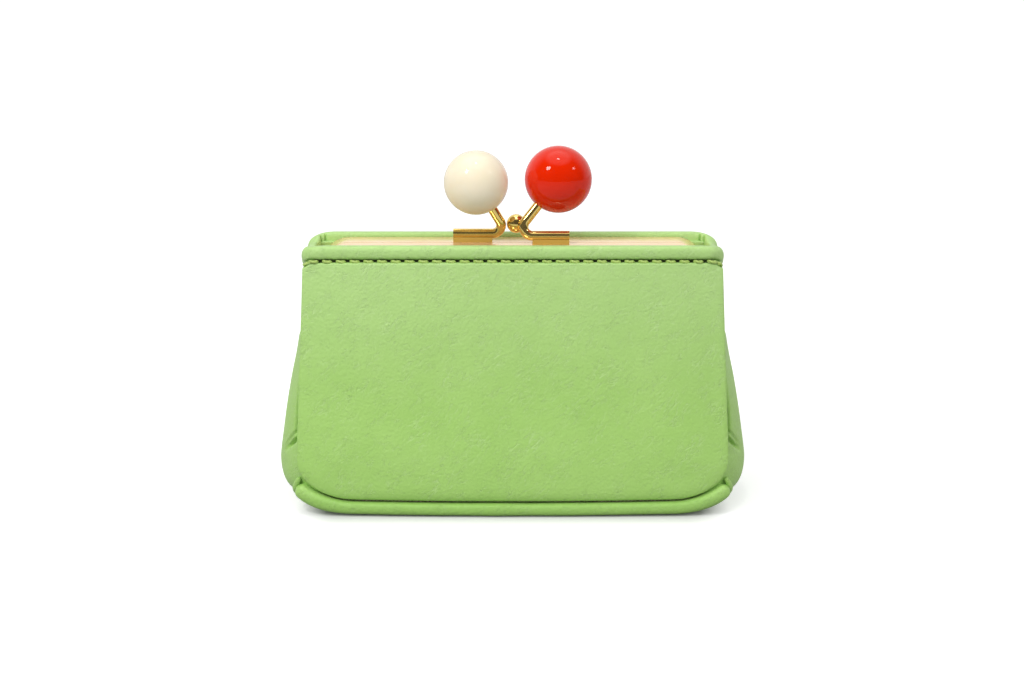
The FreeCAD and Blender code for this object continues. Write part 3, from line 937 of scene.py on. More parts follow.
@dataclass
class PanelSkin:
    """One large side of the purse: leather drawn over a board, with rolled edges."""

    form: PurseForm
    half: Half
    columns: int = 76
    rows: int = 68
    row_power: float = 1.5
    fine_from: float = 0.5
    fine_top: float = 6.0
    wall: float = 1.3
    roll_width: float = 2.4
    roll_depth: float = 0.8
    foot_wider: float = 2.0
    foot_deeper: float = 0.6
    soft_from: float = 16.0
    soft_to: float = 4.0
    top_squarer: float = 0.6
    square_from: float = 12.0
    square_to: float = 2.0
    lip_width: float = 0.3
    lip_drop: float = 0.6
    lip_depth: float = 2.8
    lip_corner: tuple[float, float] = (0.9, 2.2)
    tuck_depth: float = 3.0
    tuck_corner: float = 3.4
    top_tuck: float = 2.2
    crown: float = 1.2
    crown_width: float = 9.0
    swells: tuple[tuple[float, float], ...] = ((23.0, 0.16), (9.0, 0.05))

    def outline_half(self, height: float) -> float:
        """Half the panel's width at a height, round its lower corners too."""
        rise = min(max(1.0 - (height - self.form.foot) / self.form.corner_high, 0.0), 1.0)
        return self.form.half_at(height) - self.form.corner_wide * (1.0 - math.sqrt(1.0 - rise**2))

    def inside(self, x: float, height: float) -> float:
        """Find how far inside the outline a point lies, from the sides and the foot.

        Args:
            x: Distance from the purse's middle.
            height: Height above the floor.

        Returns:
            The distance to the outline.
        """
        form = self.form
        side = form.half_at(height) - abs(x)
        across = (form.corner_wide - side) / form.corner_wide
        below = (form.foot + form.corner_high - height) / form.corner_high
        if across <= 0.0 or below <= 0.0:
            return max(min(side, height - form.foot), 0.0)
        reach = math.hypot(across, below)
        slope = math.hypot(across / form.corner_wide, below / form.corner_high) / reach
        return max((1.0 - reach) / slope, 0.0)

    def height_at(self, up: float, top: float) -> float:
        """Find the height of a row, where rows are finer near the top.

        Args:
            up: Share of the rows, from -1 to 1.
            top: Height of the last row.

        Returns:
            The height above the floor.
        """
        if up >= self.fine_from:
            return top - self.fine_top * (1.0 - up) / (1.0 - self.fine_from)
        share = (up + 1.0) / (self.fine_from + 1.0)
        return self.form.foot + (top - self.fine_top - self.form.foot) * share**self.row_power

    def shape(self, across: float, up: float) -> Vector:
        """Shape the leather's outer face.

        Args:
            across: Share of the width, from -1 to 1.
            up: Share of the rows, from -1 to 1.

        Returns:
            The place of that point.
        """
        form = self.form
        top = form.seam_at(0.0) + self.top_tuck
        height = self.height_at(up, top)
        x = crowd(across) * self.outline_half(height)
        dipped = form.seam_at(x) + self.top_tuck
        depth = self.inside(x, height)
        height = form.foot + (height - form.foot) * (dipped - form.foot) / (top - form.foot)
        softer = smoothstep(self.soft_from, self.soft_to, height - form.foot)
        rolled = max(1.0 - depth / (self.roll_width + self.foot_wider * softer), 0.0)
        squarer = self.top_squarer * smoothstep(self.square_from, self.square_to, form.rim_foot - height)
        drop = self.roll_depth * (1.0 - squarer) + self.foot_deeper * softer
        drop *= 1.0 - math.sqrt(max(1.0 - rolled**2, 0.0))
        lipped = max((height + self.top_tuck + self.lip_drop - dipped) / self.lip_width, 0.0)
        drop = max(drop, min(self.lip_depth * min(lipped**2, lipped), self.tuck_depth))
        past = min(max(abs(x) - form.half_width + self.tuck_corner, 0.0), self.tuck_corner)
        round_end = self.tuck_corner - math.sqrt(self.tuck_corner**2 - past**2)
        drop += round_end * smoothstep(*self.lip_corner, lipped)
        swell = self.crown * (1.0 - ridge(depth, 0.0, self.crown_width))
        spot = Vector((x, form.face_y(height), height))
        lift = swell - drop + sum(waver(spot, size, high) for size, high in self.swells)
        return spot + form.normal * lift + form.bow(x, height)

    def build(self) -> Object:
        """Make the skin.

        Returns:
            The finished skin.
        """
        blank = Blank(f"{self.half.value}_panel_leather")
        blank.grid(self.columns, self.rows, self.shape)
        blank.face(self.form.normal)
        piece = blank.done(LEATHER, Slot.LEATHER, self.half.turn, self.wall)
        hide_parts(f"{self.half.value}_panel")
        return self.form.blend(piece, self.half)


@dataclass
class RimRoll:
    """The rolled rim of one half: along the mouth and back round both ends over its filler.

    Its ends swell, are pinched where they start to run back, and swell again.
    """

    form: PurseForm
    half: Half
    segments: int = 28
    corner_steps: int = 30
    side_steps: int = 8
    fine_step: float = 0.6
    fine_steps: int = 12
    even_steps: int = 44
    end_step: float = 0.33
    end_shrinks: tuple[float, ...] = (0.93, 0.74, 0.35)
    thickness: float = 3.6
    lift: float = 0.5
    corner: float = 4.0
    end_gap: float = 1.3
    outer_power: float = 2.5
    inner_power: float = 3.6
    shoulder_wide: float = 8.0
    shoulder_high: float = 1.9
    shoulder_power: float = 2.0
    back_droop: float = 1.5
    side_sag: float = 1.5
    side_drop: float = 1.8
    side_y: tuple[float, float] = (2.5, 7.0)
    side_x: tuple[float, float] = (54.0, 57.0)
    least_height: float = 1.6
    widen: float = 0.6
    widen_x: tuple[float, float] = (50.0, 60.0)
    pinch: float = 1.4
    seam_gap: float = 0.15
    pleats: tuple[float, float] = (math.radians(16.0), math.radians(48.0))
    pleat_depth: float = 0.8
    pleat_width: float = math.radians(5.5)
    pleat_reach: tuple[float, float] = (0.4, 1.6)
    pleat_level: tuple[float, float] = (1.02, 0.8)
    pleat_fall: float = 0.6
    least_arm: float = 0.5
    swell: tuple[float, float] = (8.0, 0.05)

    @property
    def side(self) -> float:
        """Distance of the roll's middle from the purse's middle, at its ends."""
        return self.form.half_width - self.thickness / 2.0

    @property
    def front(self) -> float:
        """Distance of the roll's middle from the purse's middle, along the mouth."""
        return self.form.half_mouth - self.thickness / 2.0

    def shape(self, spot: Vector) -> Vector:
        """Round the shoulders, follow the seam and fold the pleats at the inner corners.

        Args:
            spot: Point of the plain roll.

        Returns:
            Its place on the finished one.
        """
        form = self.form
        reach = abs(spot.x)
        level = (spot.z - form.rim_foot) / (form.rim_top - form.rim_foot)
        out = min(max((reach - form.half_width + self.shoulder_wide) / self.shoulder_wide, 0.0), 1.0)
        power = self.shoulder_power
        deep = self.shoulder_high + (self.back_droop if self.half is Half.BACK else 0.0)
        shoulder = deep * (1.0 - (1.0 - out**power) ** (1.0 / power))
        behind = smoothstep(*self.side_y, spot.y + self.front) * smoothstep(*self.side_x, reach)
        low = form.seam_at(spot.x) + self.seam_gap - self.side_drop * behind
        top = form.rim_top + self.lift - shoulder - self.side_sag * behind
        high = max(top, low + self.least_height)
        centre = Vector((self.side - self.corner, self.corner - self.front))
        arm = Vector((reach, spot.y)) - centre
        angle = math.atan2(arm.x, -arm.y)
        near = smoothstep(*self.pleat_reach, self.corner - arm.length)
        fold = sum(ridge(angle, pleat, self.pleat_width) for pleat in self.pleats)
        tuck = self.pleat_depth * fold * near * smoothstep(*self.pleat_level, level)
        arm *= 1.0 + tuck / max(arm.length, self.least_arm)
        x = math.copysign(centre.x + arm.x, spot.x) if tuck else spot.x
        y = centre.y + arm.y if tuck else spot.y
        # Only the size of this sum counts, so past the pinch the ends swell again.
        x += math.copysign(self.widen * smoothstep(*self.widen_x, reach) - self.pinch * behind, x)
        height = low + (high - low) * level - tuck * self.pleat_fall
        return Vector((x, y - waver(spot, *self.swell), height))

    def build(self) -> Object:
        """Sweep the roll, shape it and set it on its frame half.

        Returns:
            The finished rim.
        """
        form = self.form
        roll = Sweep(f"{self.half.value}_rim_leather")
        half_height = (form.rim_top - form.rim_foot) / 2.0
        first = Matrix.LocRotScale(
            Vector((self.side, -self.end_gap, form.rim_foot + half_height)),
            Matrix.Rotation(QUARTER, 3, "X"),
            Vector((self.thickness / 2.0, half_height, 1.0)),
        )
        roll.start(self.segments, first, self.outer_power, self.inner_power)
        first_ring = roll.ring
        side_step = Vector((0.0, (self.front - self.corner - self.end_gap) / self.side_steps, 0.0))
        bend = Vector((self.side - self.corner, self.corner - self.front, 0.0))
        roll.straight(-side_step, self.side_steps)
        roll.turn(bend, UP, -QUARTER, self.corner_steps)
        way = Vector((-1.0, 0.0, 0.0))
        roll.run(way, 2.0 * bend.x, self.fine_step, self.fine_steps, self.even_steps)
        roll.turn(Vector((-bend.x, bend.y, 0.0)), UP, -QUARTER, self.corner_steps)
        roll.straight(side_step, self.side_steps)
        back = Vector((0.0, self.end_step, 0.0))
        roll.round_ends([(roll.ring, back), (first_ring, back)], self.end_shrinks)
        roll.close()
        roll.move(self.shape)
        piece = roll.done(LEATHER, Slot.LEATHER, self.half.turn)
        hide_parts(f"{self.half.value}_rim", f"{self.half.value}_rim_cord")
        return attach(piece, self.half.body)


@dataclass
class StitchRow:
    """The row of thread stitches in the seam under one rim."""

    form: PurseForm
    half: Half
    count: int = 30
    pitch: float = 3.96
    length: float = 2.95
    ply: float = 0.4
    ply_segments: int = 6
    lay: float = 0.22
    twist: float = math.radians(170.0)
    steps: int = 8
    taper: float = 0.7
    sink: float = 0.7
    slant: float = math.radians(4.0)
    follow: float = 0.7
    drop: float = 0.2
    ahead: float = 0.35
    end_turn: float = math.radians(58.0)
    end_tilt: float = 0.5
    end_reach: float = 60.0
    end_behind: float = 1.5

    def stitch(self, blank: Blank, place: Matrix) -> None:
        """Twist two plies into one stitch and set it in place.

        Args:
            blank: Blank that gets the stitch.
            place: Turn and place of a stitch that lies along X.
        """
        bm = blank.bm
        old = set(bm.verts)
        lay = Matrix.Translation((-self.length / 2.0, 0.0, self.lay)) @ Matrix.Rotation(QUARTER, 4, "Y")
        for start in (0.0, math.pi):
            ring = bmesh.ops.create_circle(
                bm, cap_ends=True, radius=self.ply, segments=self.ply_segments
            )["verts"]
            bmesh.ops.transform(bm, verts=ring, matrix=Matrix.Rotation(start, 4, "X") @ lay)
            spun = bmesh.ops.spin(
                bm,
                geom=list({edge for vert in ring for edge in vert.link_edges}),
                cent=(0.0, 0.0, 0.0),
                axis=(1.0, 0.0, 0.0),
                dvec=(self.length / self.steps, 0.0, 0.0),
                angle=self.twist,
                steps=self.steps,
                use_merge=False,
            )
            last = [item for item in spun["geom_last"] if isinstance(item, BMVert)]
            bmesh.ops.contextual_create(bm, geom=last)
        fresh = [vert for vert in bm.verts if vert not in old]
        for vert in fresh:
            out = abs(vert.co.x * 2.0 / self.length)
            thin = 1.0 - self.taper * out**4
            vert.co = Vector((vert.co.x, vert.co.y * thin + self.sink * out**3, vert.co.z * thin))
        bmesh.ops.transform(bm, verts=fresh, matrix=place)

    def build(self) -> Object:
        """Lay the row along the front, down into the dip at each end.

        Returns:
            The finished row.
        """
        form = self.form
        blank = Blank(f"{self.half.value}_rim_stitches")
        for index in range(self.count):
            x = (index - (self.count - 1) / 2.0) * self.pitch
            height = form.seam_at(x) - self.drop
            fall = (form.seam_at(x + 0.5) - form.seam_at(x - 0.5)) * self.follow
            turn = Matrix.Rotation(-math.atan(fall) + self.slant, 4, "Y")
            spot = Vector((x, form.face_y(height) - self.ahead, height))
            self.stitch(blank, Matrix.Translation(spot) @ turn)
        height = form.seam_at(self.end_reach)
        for side in Side:
            round_corner = Matrix.Rotation(side.sign * self.end_turn, 4, "Z")
            turn = round_corner @ Matrix.Rotation(side.sign * self.end_tilt, 4, "Y")
            spot = Vector((side.sign * self.end_reach, form.face_y(height) + self.end_behind, height))
            self.stitch(blank, Matrix.Translation(spot) @ turn)
        blank.close()
        piece = blank.done(THREAD, None, self.half.turn, levels=0)
        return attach(piece, self.half.body)


@dataclass
class SeamShadeStrip:
    """A dark strip of painted shade in the seam groove, which shows between the stitches under one rim.
    """

    form: PurseForm
    half: Half
    columns: int = 80
    behind: float = 0.8
    below: float = 0.8
    above: float = 0.3
    end_inset: float = 3.4
    wall: float = 0.4

    def shape(self, across: float, up: float) -> Vector:
        """Shape the strip's outer face.

        Args:
            across: Share of the width, from -1 to 1.
            up: Share of the height, from -1 to 1.

        Returns:
            The place of that point.
        """
        x = crowd(across) * (self.form.half_width - self.end_inset)
        middle, reach = (self.above - self.below) / 2.0, (self.above + self.below) / 2.0
        height = self.form.seam_at(x) + middle + reach * up
        return Vector((x, self.form.face_y(height) + self.behind, height))

    def build(self) -> Object:
        """Make the strip and set it on its frame half.

        Returns:
            The finished strip.
        """
        blank = Blank(f"{self.half.value}_rim_seam_painted_shade")
        blank.grid(self.columns, 2, self.shape)
        blank.face(self.form.normal)
        # The strip's dark finish is painted shade.
        piece = blank.done(SEAM_SHADE, None, self.half.turn, self.wall, levels=0)
        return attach(piece, self.half.body)


@dataclass
class GussetSkin:
    """Half of one soft end of the purse, from its middle line to the edge of a panel.

    It is shaped for the right-hand front. With a depth it is the lining that lies that far inside.
    """

    form: PurseForm
    half: Half
    side: Side
    depth: float = 0.0
    top_trim: float = 0.0
    columns: int = 34
    crowding: float = 1.3
    rows: int = 170
    lining_rows: int = 60
    wall: float = 1.1
    lining_wall: float = 0.35
    swell_height: float = 12.4
    top_reach: float = 1.1
    lean_power: float = 1.2
    lip: float = 0.8
    lip_height: float = 2.5
    edge_inset: float = 0.9
    edge_behind: float = 1.2
    edge_turn: float = math.radians(56.0)
    edge_done: float = 0.75
    under_from: float = 0.6
    under_inset: float = 4.0
    under_behind: float = 9.0
    curl_share: float = 0.36
    curl_x: float = 55.0
    curl_z: float = 0.7
    curl_out: float = 0.62
    curl_down: float = 0.85
    fullness: float = 2.3
    corner_fuller: float = 1.0
    lean_in: float = 1.6
    crease_edge: float = 22.6
    crease_fall: float = 14.0
    crease_step: tuple[float, float] = (-0.3, 1.1)
    crease_fade: tuple[float, float] = (2.0, 8.0)
    crease_faded: float = 0.9
    recess: float = 3.0
    recess_share: tuple[float, float] = (0.86, 0.93)
    groove: float = 2.3
    groove_width: float = 0.7
    groove_share: tuple[float, float] = (0.5, 0.75)
    edge_share: tuple[float, float] = (1.0, 0.965)
    second_rise: float = 2.6
    second_fall: float = 3.0
    second_depth: float = 0.4
    second_width: float = 0.5
    swell: tuple[float, float] = (12.0, 0.25)

    @property
    def top(self) -> float:
        """Height of the upper edge."""
        return self.form.gusset_top - self.top_trim

    def middle(self, up: float) -> Vector:
        """Follow the middle line, from the curl under the base to the top edge.

        Args:
            up: Share along the line, from 0 under the base to 1 at the top.

        Returns:
            The point on the line.
        """
        form, low = self.form, self.swell_height
        if up < self.curl_share:
            angle = (1.0 - up / self.curl_share) * QUARTER
            x = self.curl_x + (form.gusset_reach - self.curl_x) * math.cos(angle) ** self.curl_out
            return Vector((x, 0.0, low - (low - self.curl_z) * math.sin(angle) ** self.curl_down))
        height = low + (self.top - low) * (up - self.curl_share) / (1.0 - self.curl_share)
        fall = (height - low) / (form.gusset_top - low)
        top_x = form.half_at(form.gusset_top) + self.top_reach
        x = form.gusset_reach + (top_x - form.gusset_reach) * fall**self.lean_power
        x -= self.lip * smoothstep(form.gusset_top - self.lip_height, form.gusset_top, height)
        return Vector((x, 0.0, height))

    def edge(self, up: float) -> Vector:
        """Follow the front edge, behind the panel and round its lower corner.

        Args:
            up: Share along the edge, from 0 under the base to 1 at the top.

        Returns:
            The point on the edge.
        """
        form = self.form
        bend = form.foot + form.corner_high
        if up < self.curl_share:
            share = 1.0 - up / self.curl_share
            angle = self.edge_turn * min(share / self.edge_done, 1.0)
            height = bend - form.corner_high * math.sin(angle)
            x = form.half_at(bend) - self.edge_inset - form.corner_wide * (1.0 - math.cos(angle))
            corner = Vector((x, form.face_y(height) + self.edge_behind, height))
            under_y = form.face_y(0.0) + self.under_behind
            under = Vector((self.curl_x - self.under_inset, under_y, self.curl_z))
            return corner.lerp(under, smoothstep(self.under_from, 1.0, share))
        height = bend + (self.top - bend) * (up - self.curl_share) / (1.0 - self.curl_share)
        x = form.half_at(height) - self.edge_inset
        return Vector((x, form.face_y(height) + self.edge_behind, height))

    def sunk(self, share: float, height: float) -> float:
        """Find how deep the creases and the slack beside the panel sink.

        Args:
            share: Share from the middle line to the front edge.
            height: Height above the floor.

        Returns:
            The depth.
        """
        line = self.crease_edge - self.crease_fall * (1.0 - share)
        first, last = self.crease_step
        above = smoothstep(line + first, line + last, height)
        start, left = self.crease_fade
        faded = self.crease_faded * smoothstep(line + start, self.form.gusset_top - left, height)
        at_edge = smoothstep(*self.edge_share, share)
        slack = self.recess * above * (1.0 - faded) * smoothstep(*self.recess_share, share)
        second = line + self.second_rise - self.second_fall * (1.0 - share)
        folds = ridge(height, line, self.groove_width)
        folds += self.second_depth * ridge(height, second, self.second_width)
        return (slack + self.groove * folds * smoothstep(*self.groove_share, share)) * at_edge

    def shape(self, across: float, up: float) -> Vector:
        """Shape the gusset's outer face.

        Args:
            across: Share from the middle line to the front edge, from -1 to 1.
            up: Share of the height, from -1 to 1.

        Returns:
            The place of that point.
        """
        share = (crowd(across, self.crowding) + 1.0) / 2.0
        level = (up + 1.0) / 2.0
        middle, edge = self.middle(level), self.edge(level)
        low_down = smoothstep(self.curl_share, 0.5 * self.curl_share, level)
        out = share ** (self.fullness + self.corner_fuller * low_down)
        height = middle.z + (edge.z - middle.z) * share**2
        spot = Vector((middle.x + (edge.x - middle.x) * out, edge.y * share, height))
        inwards = Vector((-1.0, share**2 * self.lean_in, 0.0)).normalized()
        sunk = self.sunk(share, spot.z) + self.depth
        spot.x += waver(spot, *self.swell)
        return spot + inwards * sunk

    def build(self) -> Object:
        """Make the skin.

        Returns:
            The finished half gusset.
        """
        lined = self.depth > 0.0
        kind = "gusset_lining" if lined else "gusset"
        blank = Blank(f"{self.side.value}_{kind}_{self.half.value}")
        blank.grid(self.columns, self.lining_rows if lined else self.rows, self.shape)
        facing = self.side.sign * self.half.sign
        blank.move(lambda spot: Vector((facing * spot.x, spot.y, spot.z)))
        blank.face(Vector((facing, 0.0, 0.0)))
        finish, slot = (LINING, Slot.LINING) if lined else (LEATHER, Slot.LEATHER)
        wall = self.lining_wall if lined else self.wall
        piece = blank.done(finish, slot, self.half.turn, wall)
        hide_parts(f"{self.side.value}_{kind}")
        return self.form.blend(piece, self.half)


@dataclass
class PurseBase:
    """The bottom of the purse: a flat sole with a soft roll along the front and the back.

    The sole's lip gives how much narrower than the sole and how far below the base's top each
    of its last edges is. A tuck has three points down its middle line. Each gives its distance
    past the panel's side, the height where the panel's face is read, the distance behind that
    face, and the point's own height.
    """

    form: PurseForm
    sole_segments: int = 72
    sole_inset: float = 1.6
    sole_round: float = 2.4
    sole_steps: int = 6
    sole_lip: tuple[tuple[float, float], ...] = ((0.1, 1.4), (1.2, 1.0), (2.6, 1.3))
    roll_segments: int = 20
    roll_depth: float = 2.3
    roll_height: float = 1.85
    roll_gap: float = 0.7
    roll_power: float = 2.5
    roll_ahead: float = 0.6
    roll_radius: float = 15.0
    roll_end: float = math.radians(48.5)
    roll_fuller: float = 0.3
    roll_recede: float = 1.6
    roll_swell: tuple[float, float] = (11.0, 0.05)
    fine_step: float = 0.45
    fine_steps: int = 40
    even_steps: int = 50
    end_step: float = 0.38
    end_shrinks: tuple[float, ...] = (0.97, 0.92, 0.82, 0.65, 0.35)
    tuck_segments: int = 12
    tuck_steps: int = 10
    tuck_top: float = 0.7
    tuck_foot: float = 1.5
    tuck_full: float = 0.8
    tuck_points: tuple[tuple[float, float, float, float], ...] = (
        (-1.4, 10.0, 2.2, 10.6),
        (1.6, 7.0, 4.2, 6.4),
        (-2.0, 4.0, 9.5, 4.2),
    )

    @property
    def straight(self) -> float:
        """Half the straight length of a roll, between its lower corners."""
        return self.form.foot_half - self.form.corner_wide

    @property
    def roll_length(self) -> float:
        """Half the length of a roll, with the corner at its end."""
        return self.straight + self.roll_radius * self.roll_end

    def sole(self) -> Object:
        """Make the sole, with its edge rounded up all round.

        Returns:
            The finished sole.
        """
        form = self.form
        sole = Sweep("base_sole_leather")
        radius = form.base_half_depth - self.sole_inset
        straight = form.base_half_length - form.base_half_depth
        flat = radius - self.sole_round
        sole.lay_oval(self.sole_segments, straight, flat, 0.0)
        for step in range(1, self.sole_steps + 1):
            angle = QUARTER * step / self.sole_steps
            height = self.sole_round * (1.0 - math.cos(angle))
            sole.grow_oval(straight, flat + self.sole_round * math.sin(angle), height)
        for narrower, lower in self.sole_lip:
            sole.grow_oval(straight, radius - narrower, form.foot - lower)
        sole.face(-UP)
        piece = sole.done(LEATHER, Slot.LEATHER)
        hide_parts("base_panel")
        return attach(piece, "bag")

    def centre_line(self, along: float) -> Vector:
        """Follow the middle of the front roll, beside its panel's lower edge and round its corners.

        Args:
            along: Distance from the middle of the purse along the roll.

        Returns:
            The point.
        """
        form, wide, high = self.form, self.form.corner_wide, self.form.corner_high
        angle = max(abs(along) - self.straight, 0.0) / self.roll_radius
        x = min(abs(along), self.straight) + wide * math.sin(angle)
        edge = Vector((x, 0.0, form.foot + high * (1.0 - math.cos(angle))))
        out = Vector((math.sin(angle) / wide, 0.0, -math.cos(angle) / high)).normalized()
        fuller = 1.0 + self.roll_fuller * smoothstep(0.0, self.roll_end, angle)
        spot = edge + out * (self.roll_height * fuller + self.roll_gap)
        front = form.face_y(edge.z) - self.roll_ahead + self.roll_depth
        spot.y = front + self.roll_recede * (angle / self.roll_end) ** 2
        spot += form.bow(spot.x, form.foot)
        spot.x = math.copysign(spot.x, along)
        return spot

    def follow(self, spot: Vector) -> Vector:
        """Bend a straight roll along its centre line.

        Args:
            spot: Point of the straight roll.

        Returns:
            Its place on the finished one.
        """
        here = self.centre_line(spot.x)
        forward = (self.centre_line(spot.x + 0.1) - self.centre_line(spot.x - 0.1)).normalized()
        side = UP.cross(forward).normalized()
        swell = 1.0 + waver(here, *self.roll_swell)
        swell += self.roll_fuller * smoothstep(self.straight, self.roll_length, abs(spot.x))
        return here + (side * spot.y + forward.cross(side) * spot.z) * swell

    def roll(self, half: Half) -> Object:
        """Make the roll along one side, rising round both lower corners of its panel.

        Args:
            half: Side of the purse that it edges.

        Returns:
            The finished roll.
        """
        roll = Sweep(f"{half.value}_base_roll")
        length = self.roll_length
        first = Matrix.LocRotScale(
            Vector((length, 0.0, 0.0)),
            Matrix.Rotation(QUARTER, 3, "Y"),
            Vector((self.roll_height, self.roll_depth, 1.0)),
        )
        roll.start(self.roll_segments, first, self.roll_power, self.roll_power)
        first_ring = roll.ring
        left = Vector((-1.0, 0.0, 0.0))
        roll.run(left, 2.0 * length, self.fine_step, self.fine_steps, self.even_steps)
        ends = [(roll.ring, left * self.end_step), (first_ring, -left * self.end_step)]
        roll.round_ends(ends, self.end_shrinks)
        roll.move(self.follow)
        roll.close()
        piece = roll.done(LEATHER, Slot.LEATHER, half.turn)
        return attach(piece, "bag")

    def tuck(self, half: Half, side: Side) -> Object:
        """Make the small fold that is squeezed between a gusset and the end of a roll.

        Args:
            half: Half that the fold belongs to.
            side: End of the purse that it is on.

        Returns:
            The finished fold.
        """
        form = self.form
        fold = Sweep(f"{half.value}_{side.value}_base_tuck")
        fold.start(self.tuck_segments, Matrix.Identity(4))
        fold.straight(UP / self.tuck_steps, self.tuck_steps)
        fold.cap()
        facing = side.sign * half.sign
        top, knee, low = (
            Vector((form.foot_half + past, form.face_y(level) + behind, height))
            for past, level, behind, height in self.tuck_points
        )

        def shape(spot: Vector) -> Vector:
            """Bend the straight fold from its top round its knee and under the base.

            Args:
                spot: Point of the straight fold.

            Returns:
                Its place on the finished one.
            """
            down = 1.0 - spot.z
            middle = top.lerp(knee, down).lerp(knee.lerp(low, down), down)
            forward = ((knee - top).lerp(low - knee, down)).normalized()
            out = forward.cross(Vector((0.0, -1.0, 0.0))).normalized()
            wider = smoothstep(0.0, self.tuck_full, down)
            width = self.tuck_top + (self.tuck_foot - self.tuck_top) * wider
            place = middle + (out * spot.x + forward.cross(out) * spot.y) * width
            return Vector((place.x * facing, place.y, place.z))

        fold.move(shape)
        fold.close()
        piece = fold.done(LEATHER, Slot.LEATHER, half.turn)
        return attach(piece, "bag")

    def build(self) -> list[Object]:
        """Make the sole, both rolls and the four folds.

        Returns:
            The finished pieces.
        """
        folds = [self.tuck(half, side) for half in Half for side in Side]
        return [self.sole(), *(self.roll(half) for half in Half), *folds]


@dataclass
class SideStrip:
    """A leather strip over one side arm of the frame, with softened edges and a cut-off foot."""

    form: PurseForm
    half: Half
    side: Side
    edge: float = 0.35
    edge_steps: int = 3
    top_gap: float = 1.8
    foot_cut: tuple[float, float] = (4.4, 2.3)

    def build(self) -> Object:
        """Make the strip from the outline of its solid.

        Returns:
            The finished strip.
        """
        node = f"{self.half.value}_{self.side.value}_side_strip"
        low, high = box_mm(node)
        near, far = sorted((abs(low.y), abs(high.y)))
        cut_along, cut_up = self.foot_cut
        outline = (
            (-self.form.face_y(high.z) - self.top_gap, high.z),
            (far, low.z),
            (near + cut_along, low.z),
            (near, low.z + cut_up),
            (near, high.z),
        )
        blank = Blank(f"{node}_leather")
        bm = blank.bm
        verts = [bm.verts.new((low.x, -self.half.sign * y, height)) for y, height in outline]
        sheet = bmesh.ops.contextual_create(bm, geom=verts)["faces"]
        grown = bmesh.ops.extrude_face_region(bm, geom=sheet)["geom"]
        moved = [item for item in grown if isinstance(item, BMVert)]
        bmesh.ops.translate(bm, verts=moved, vec=(high.x - low.x, 0.0, 0.0))
        blank.close()
        bmesh.ops.bevel(
            bm,
            geom=list(bm.edges),
            offset=self.edge,
            affect="EDGES",
            segments=self.edge_steps,
            profile=0.5,
            material=-1,
        )
        piece = blank.done(LEATHER, Slot.LEATHER, levels=0)
        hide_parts(node)
        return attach(piece, self.half.body)


@dataclass
class PanelLining:
    """The cloth on the inside of one panel, slack where the panel folds."""

    form: PurseForm
    half: Half
    columns: int = 40
    rows: int = 60
    wall: float = 0.3
    gap: float = 0.1
    corner: float = 12.0
    foot: float = 3.7
    side_gap: float = 0.2
    flare: float = 3.5
    flare_height: tuple[float, float] = (40.0, 24.0)
    slack: float = 2.5
    slack_height: float = 44.5
    slack_width: float = 9.0
    swell: tuple[float, float] = (14.0, 0.12)

    def build(self) -> Object:
        """Make the cloth from the place of its solid.

        Returns:
            The finished cloth.
        """
        node = f"{self.half.value}_lining"
        low, high = box_mm(node)
        inner = min(abs(low.y), abs(high.y))
        slope = (self.form.half_base - self.form.half_mouth) / self.form.rise
        floor_half = box_mm("base_lining")[1].y - self.gap

        def shape(across: float, up: float) -> Vector:
            """Shape the cloth's inner face.

            Args:
                across: Share of the width, from -1 to 1.
                up: Share of the height, from -1 to 1.

            Returns:
                The place of that point.
            """
            height = self.foot + (high.z - self.foot - self.gap) * (up + 1.0) / 2.0
            rise = max(self.foot + self.corner - height, 0.0)
            half = high.x - self.side_gap + self.flare * smoothstep(*self.flare_height, height)
            reach = half - self.corner + math.sqrt(max(self.corner**2 - rise**2, 0.0))
            y = -min(inner + slope * (high.z - height), floor_half)
            spot = Vector((crowd(across) * reach, y, height))
            spot.y += self.gap + self.slack * ridge(height, self.slack_height, self.slack_width)
            spot.y += waver(spot, *self.swell)
            return spot

        blank = Blank(f"{self.half.value}_lining_cloth")
        blank.grid(self.columns, self.rows, shape)
        blank.face(-self.form.normal)
        piece = blank.done(LINING, Slot.LINING, self.half.turn, self.wall)
        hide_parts(node)
        return self.form.blend(piece, self.half)


@dataclass
class BaseLining:
    """The cloth on the floor of the purse."""

    segments: int = 64
    insets: tuple[float, ...] = (1.0, 3.0, 6.0)

    def build(self) -> Object:
        """Make the cloth from the place of its solid.

        Returns:
            The finished cloth.
        """
        low, high = box_mm("base_lining")
        blank = Sweep("base_lining_cloth")
        floor = blank.lay_oval(self.segments, high.x - high.y, high.y, high.z)
        for inset in self.insets:
            bmesh.ops.inset_region(blank.bm, faces=floor, thickness=inset, depth=0.0, use_boundary=True)
        blank.face(UP)
        piece = blank.done(LINING, Slot.LINING, wall=high.z - low.z, levels=0)
        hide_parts("base_lining")
        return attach(piece, "bag")


# Carried-over solids, stage, light and camera


def dress_solids(frame: Mapping[str, object]) -> None:
    """Give every solid that stays its finish.

    Args:
        frame: The loaded frame.
    """
    by_slot = {
        Slot.GOLD: GOLD,
        Slot.RED: RED_RESIN,
        Slot.IVORY: IVORY_RESIN,
        Slot.BOARD: BOARD,
        Slot.CORD: FILLER,
        Slot.LEATHER: LEATHER,
        Slot.LINING: LINING,
    }
    by_kind = {"saddle": SATIN_GOLD, "frame": RAIL_GOLD}
    for part in frame["record"]["subparts"]:
        solid = frame["nodes"][part["node"]]
        kind = part["node"].rsplit("_", 1)[-1]
        finish = by_kind.get(kind, by_slot[Slot(part["material_slot"])])
        solid.data.materials.clear()
        solid.data.materials.append(material_of(finish))


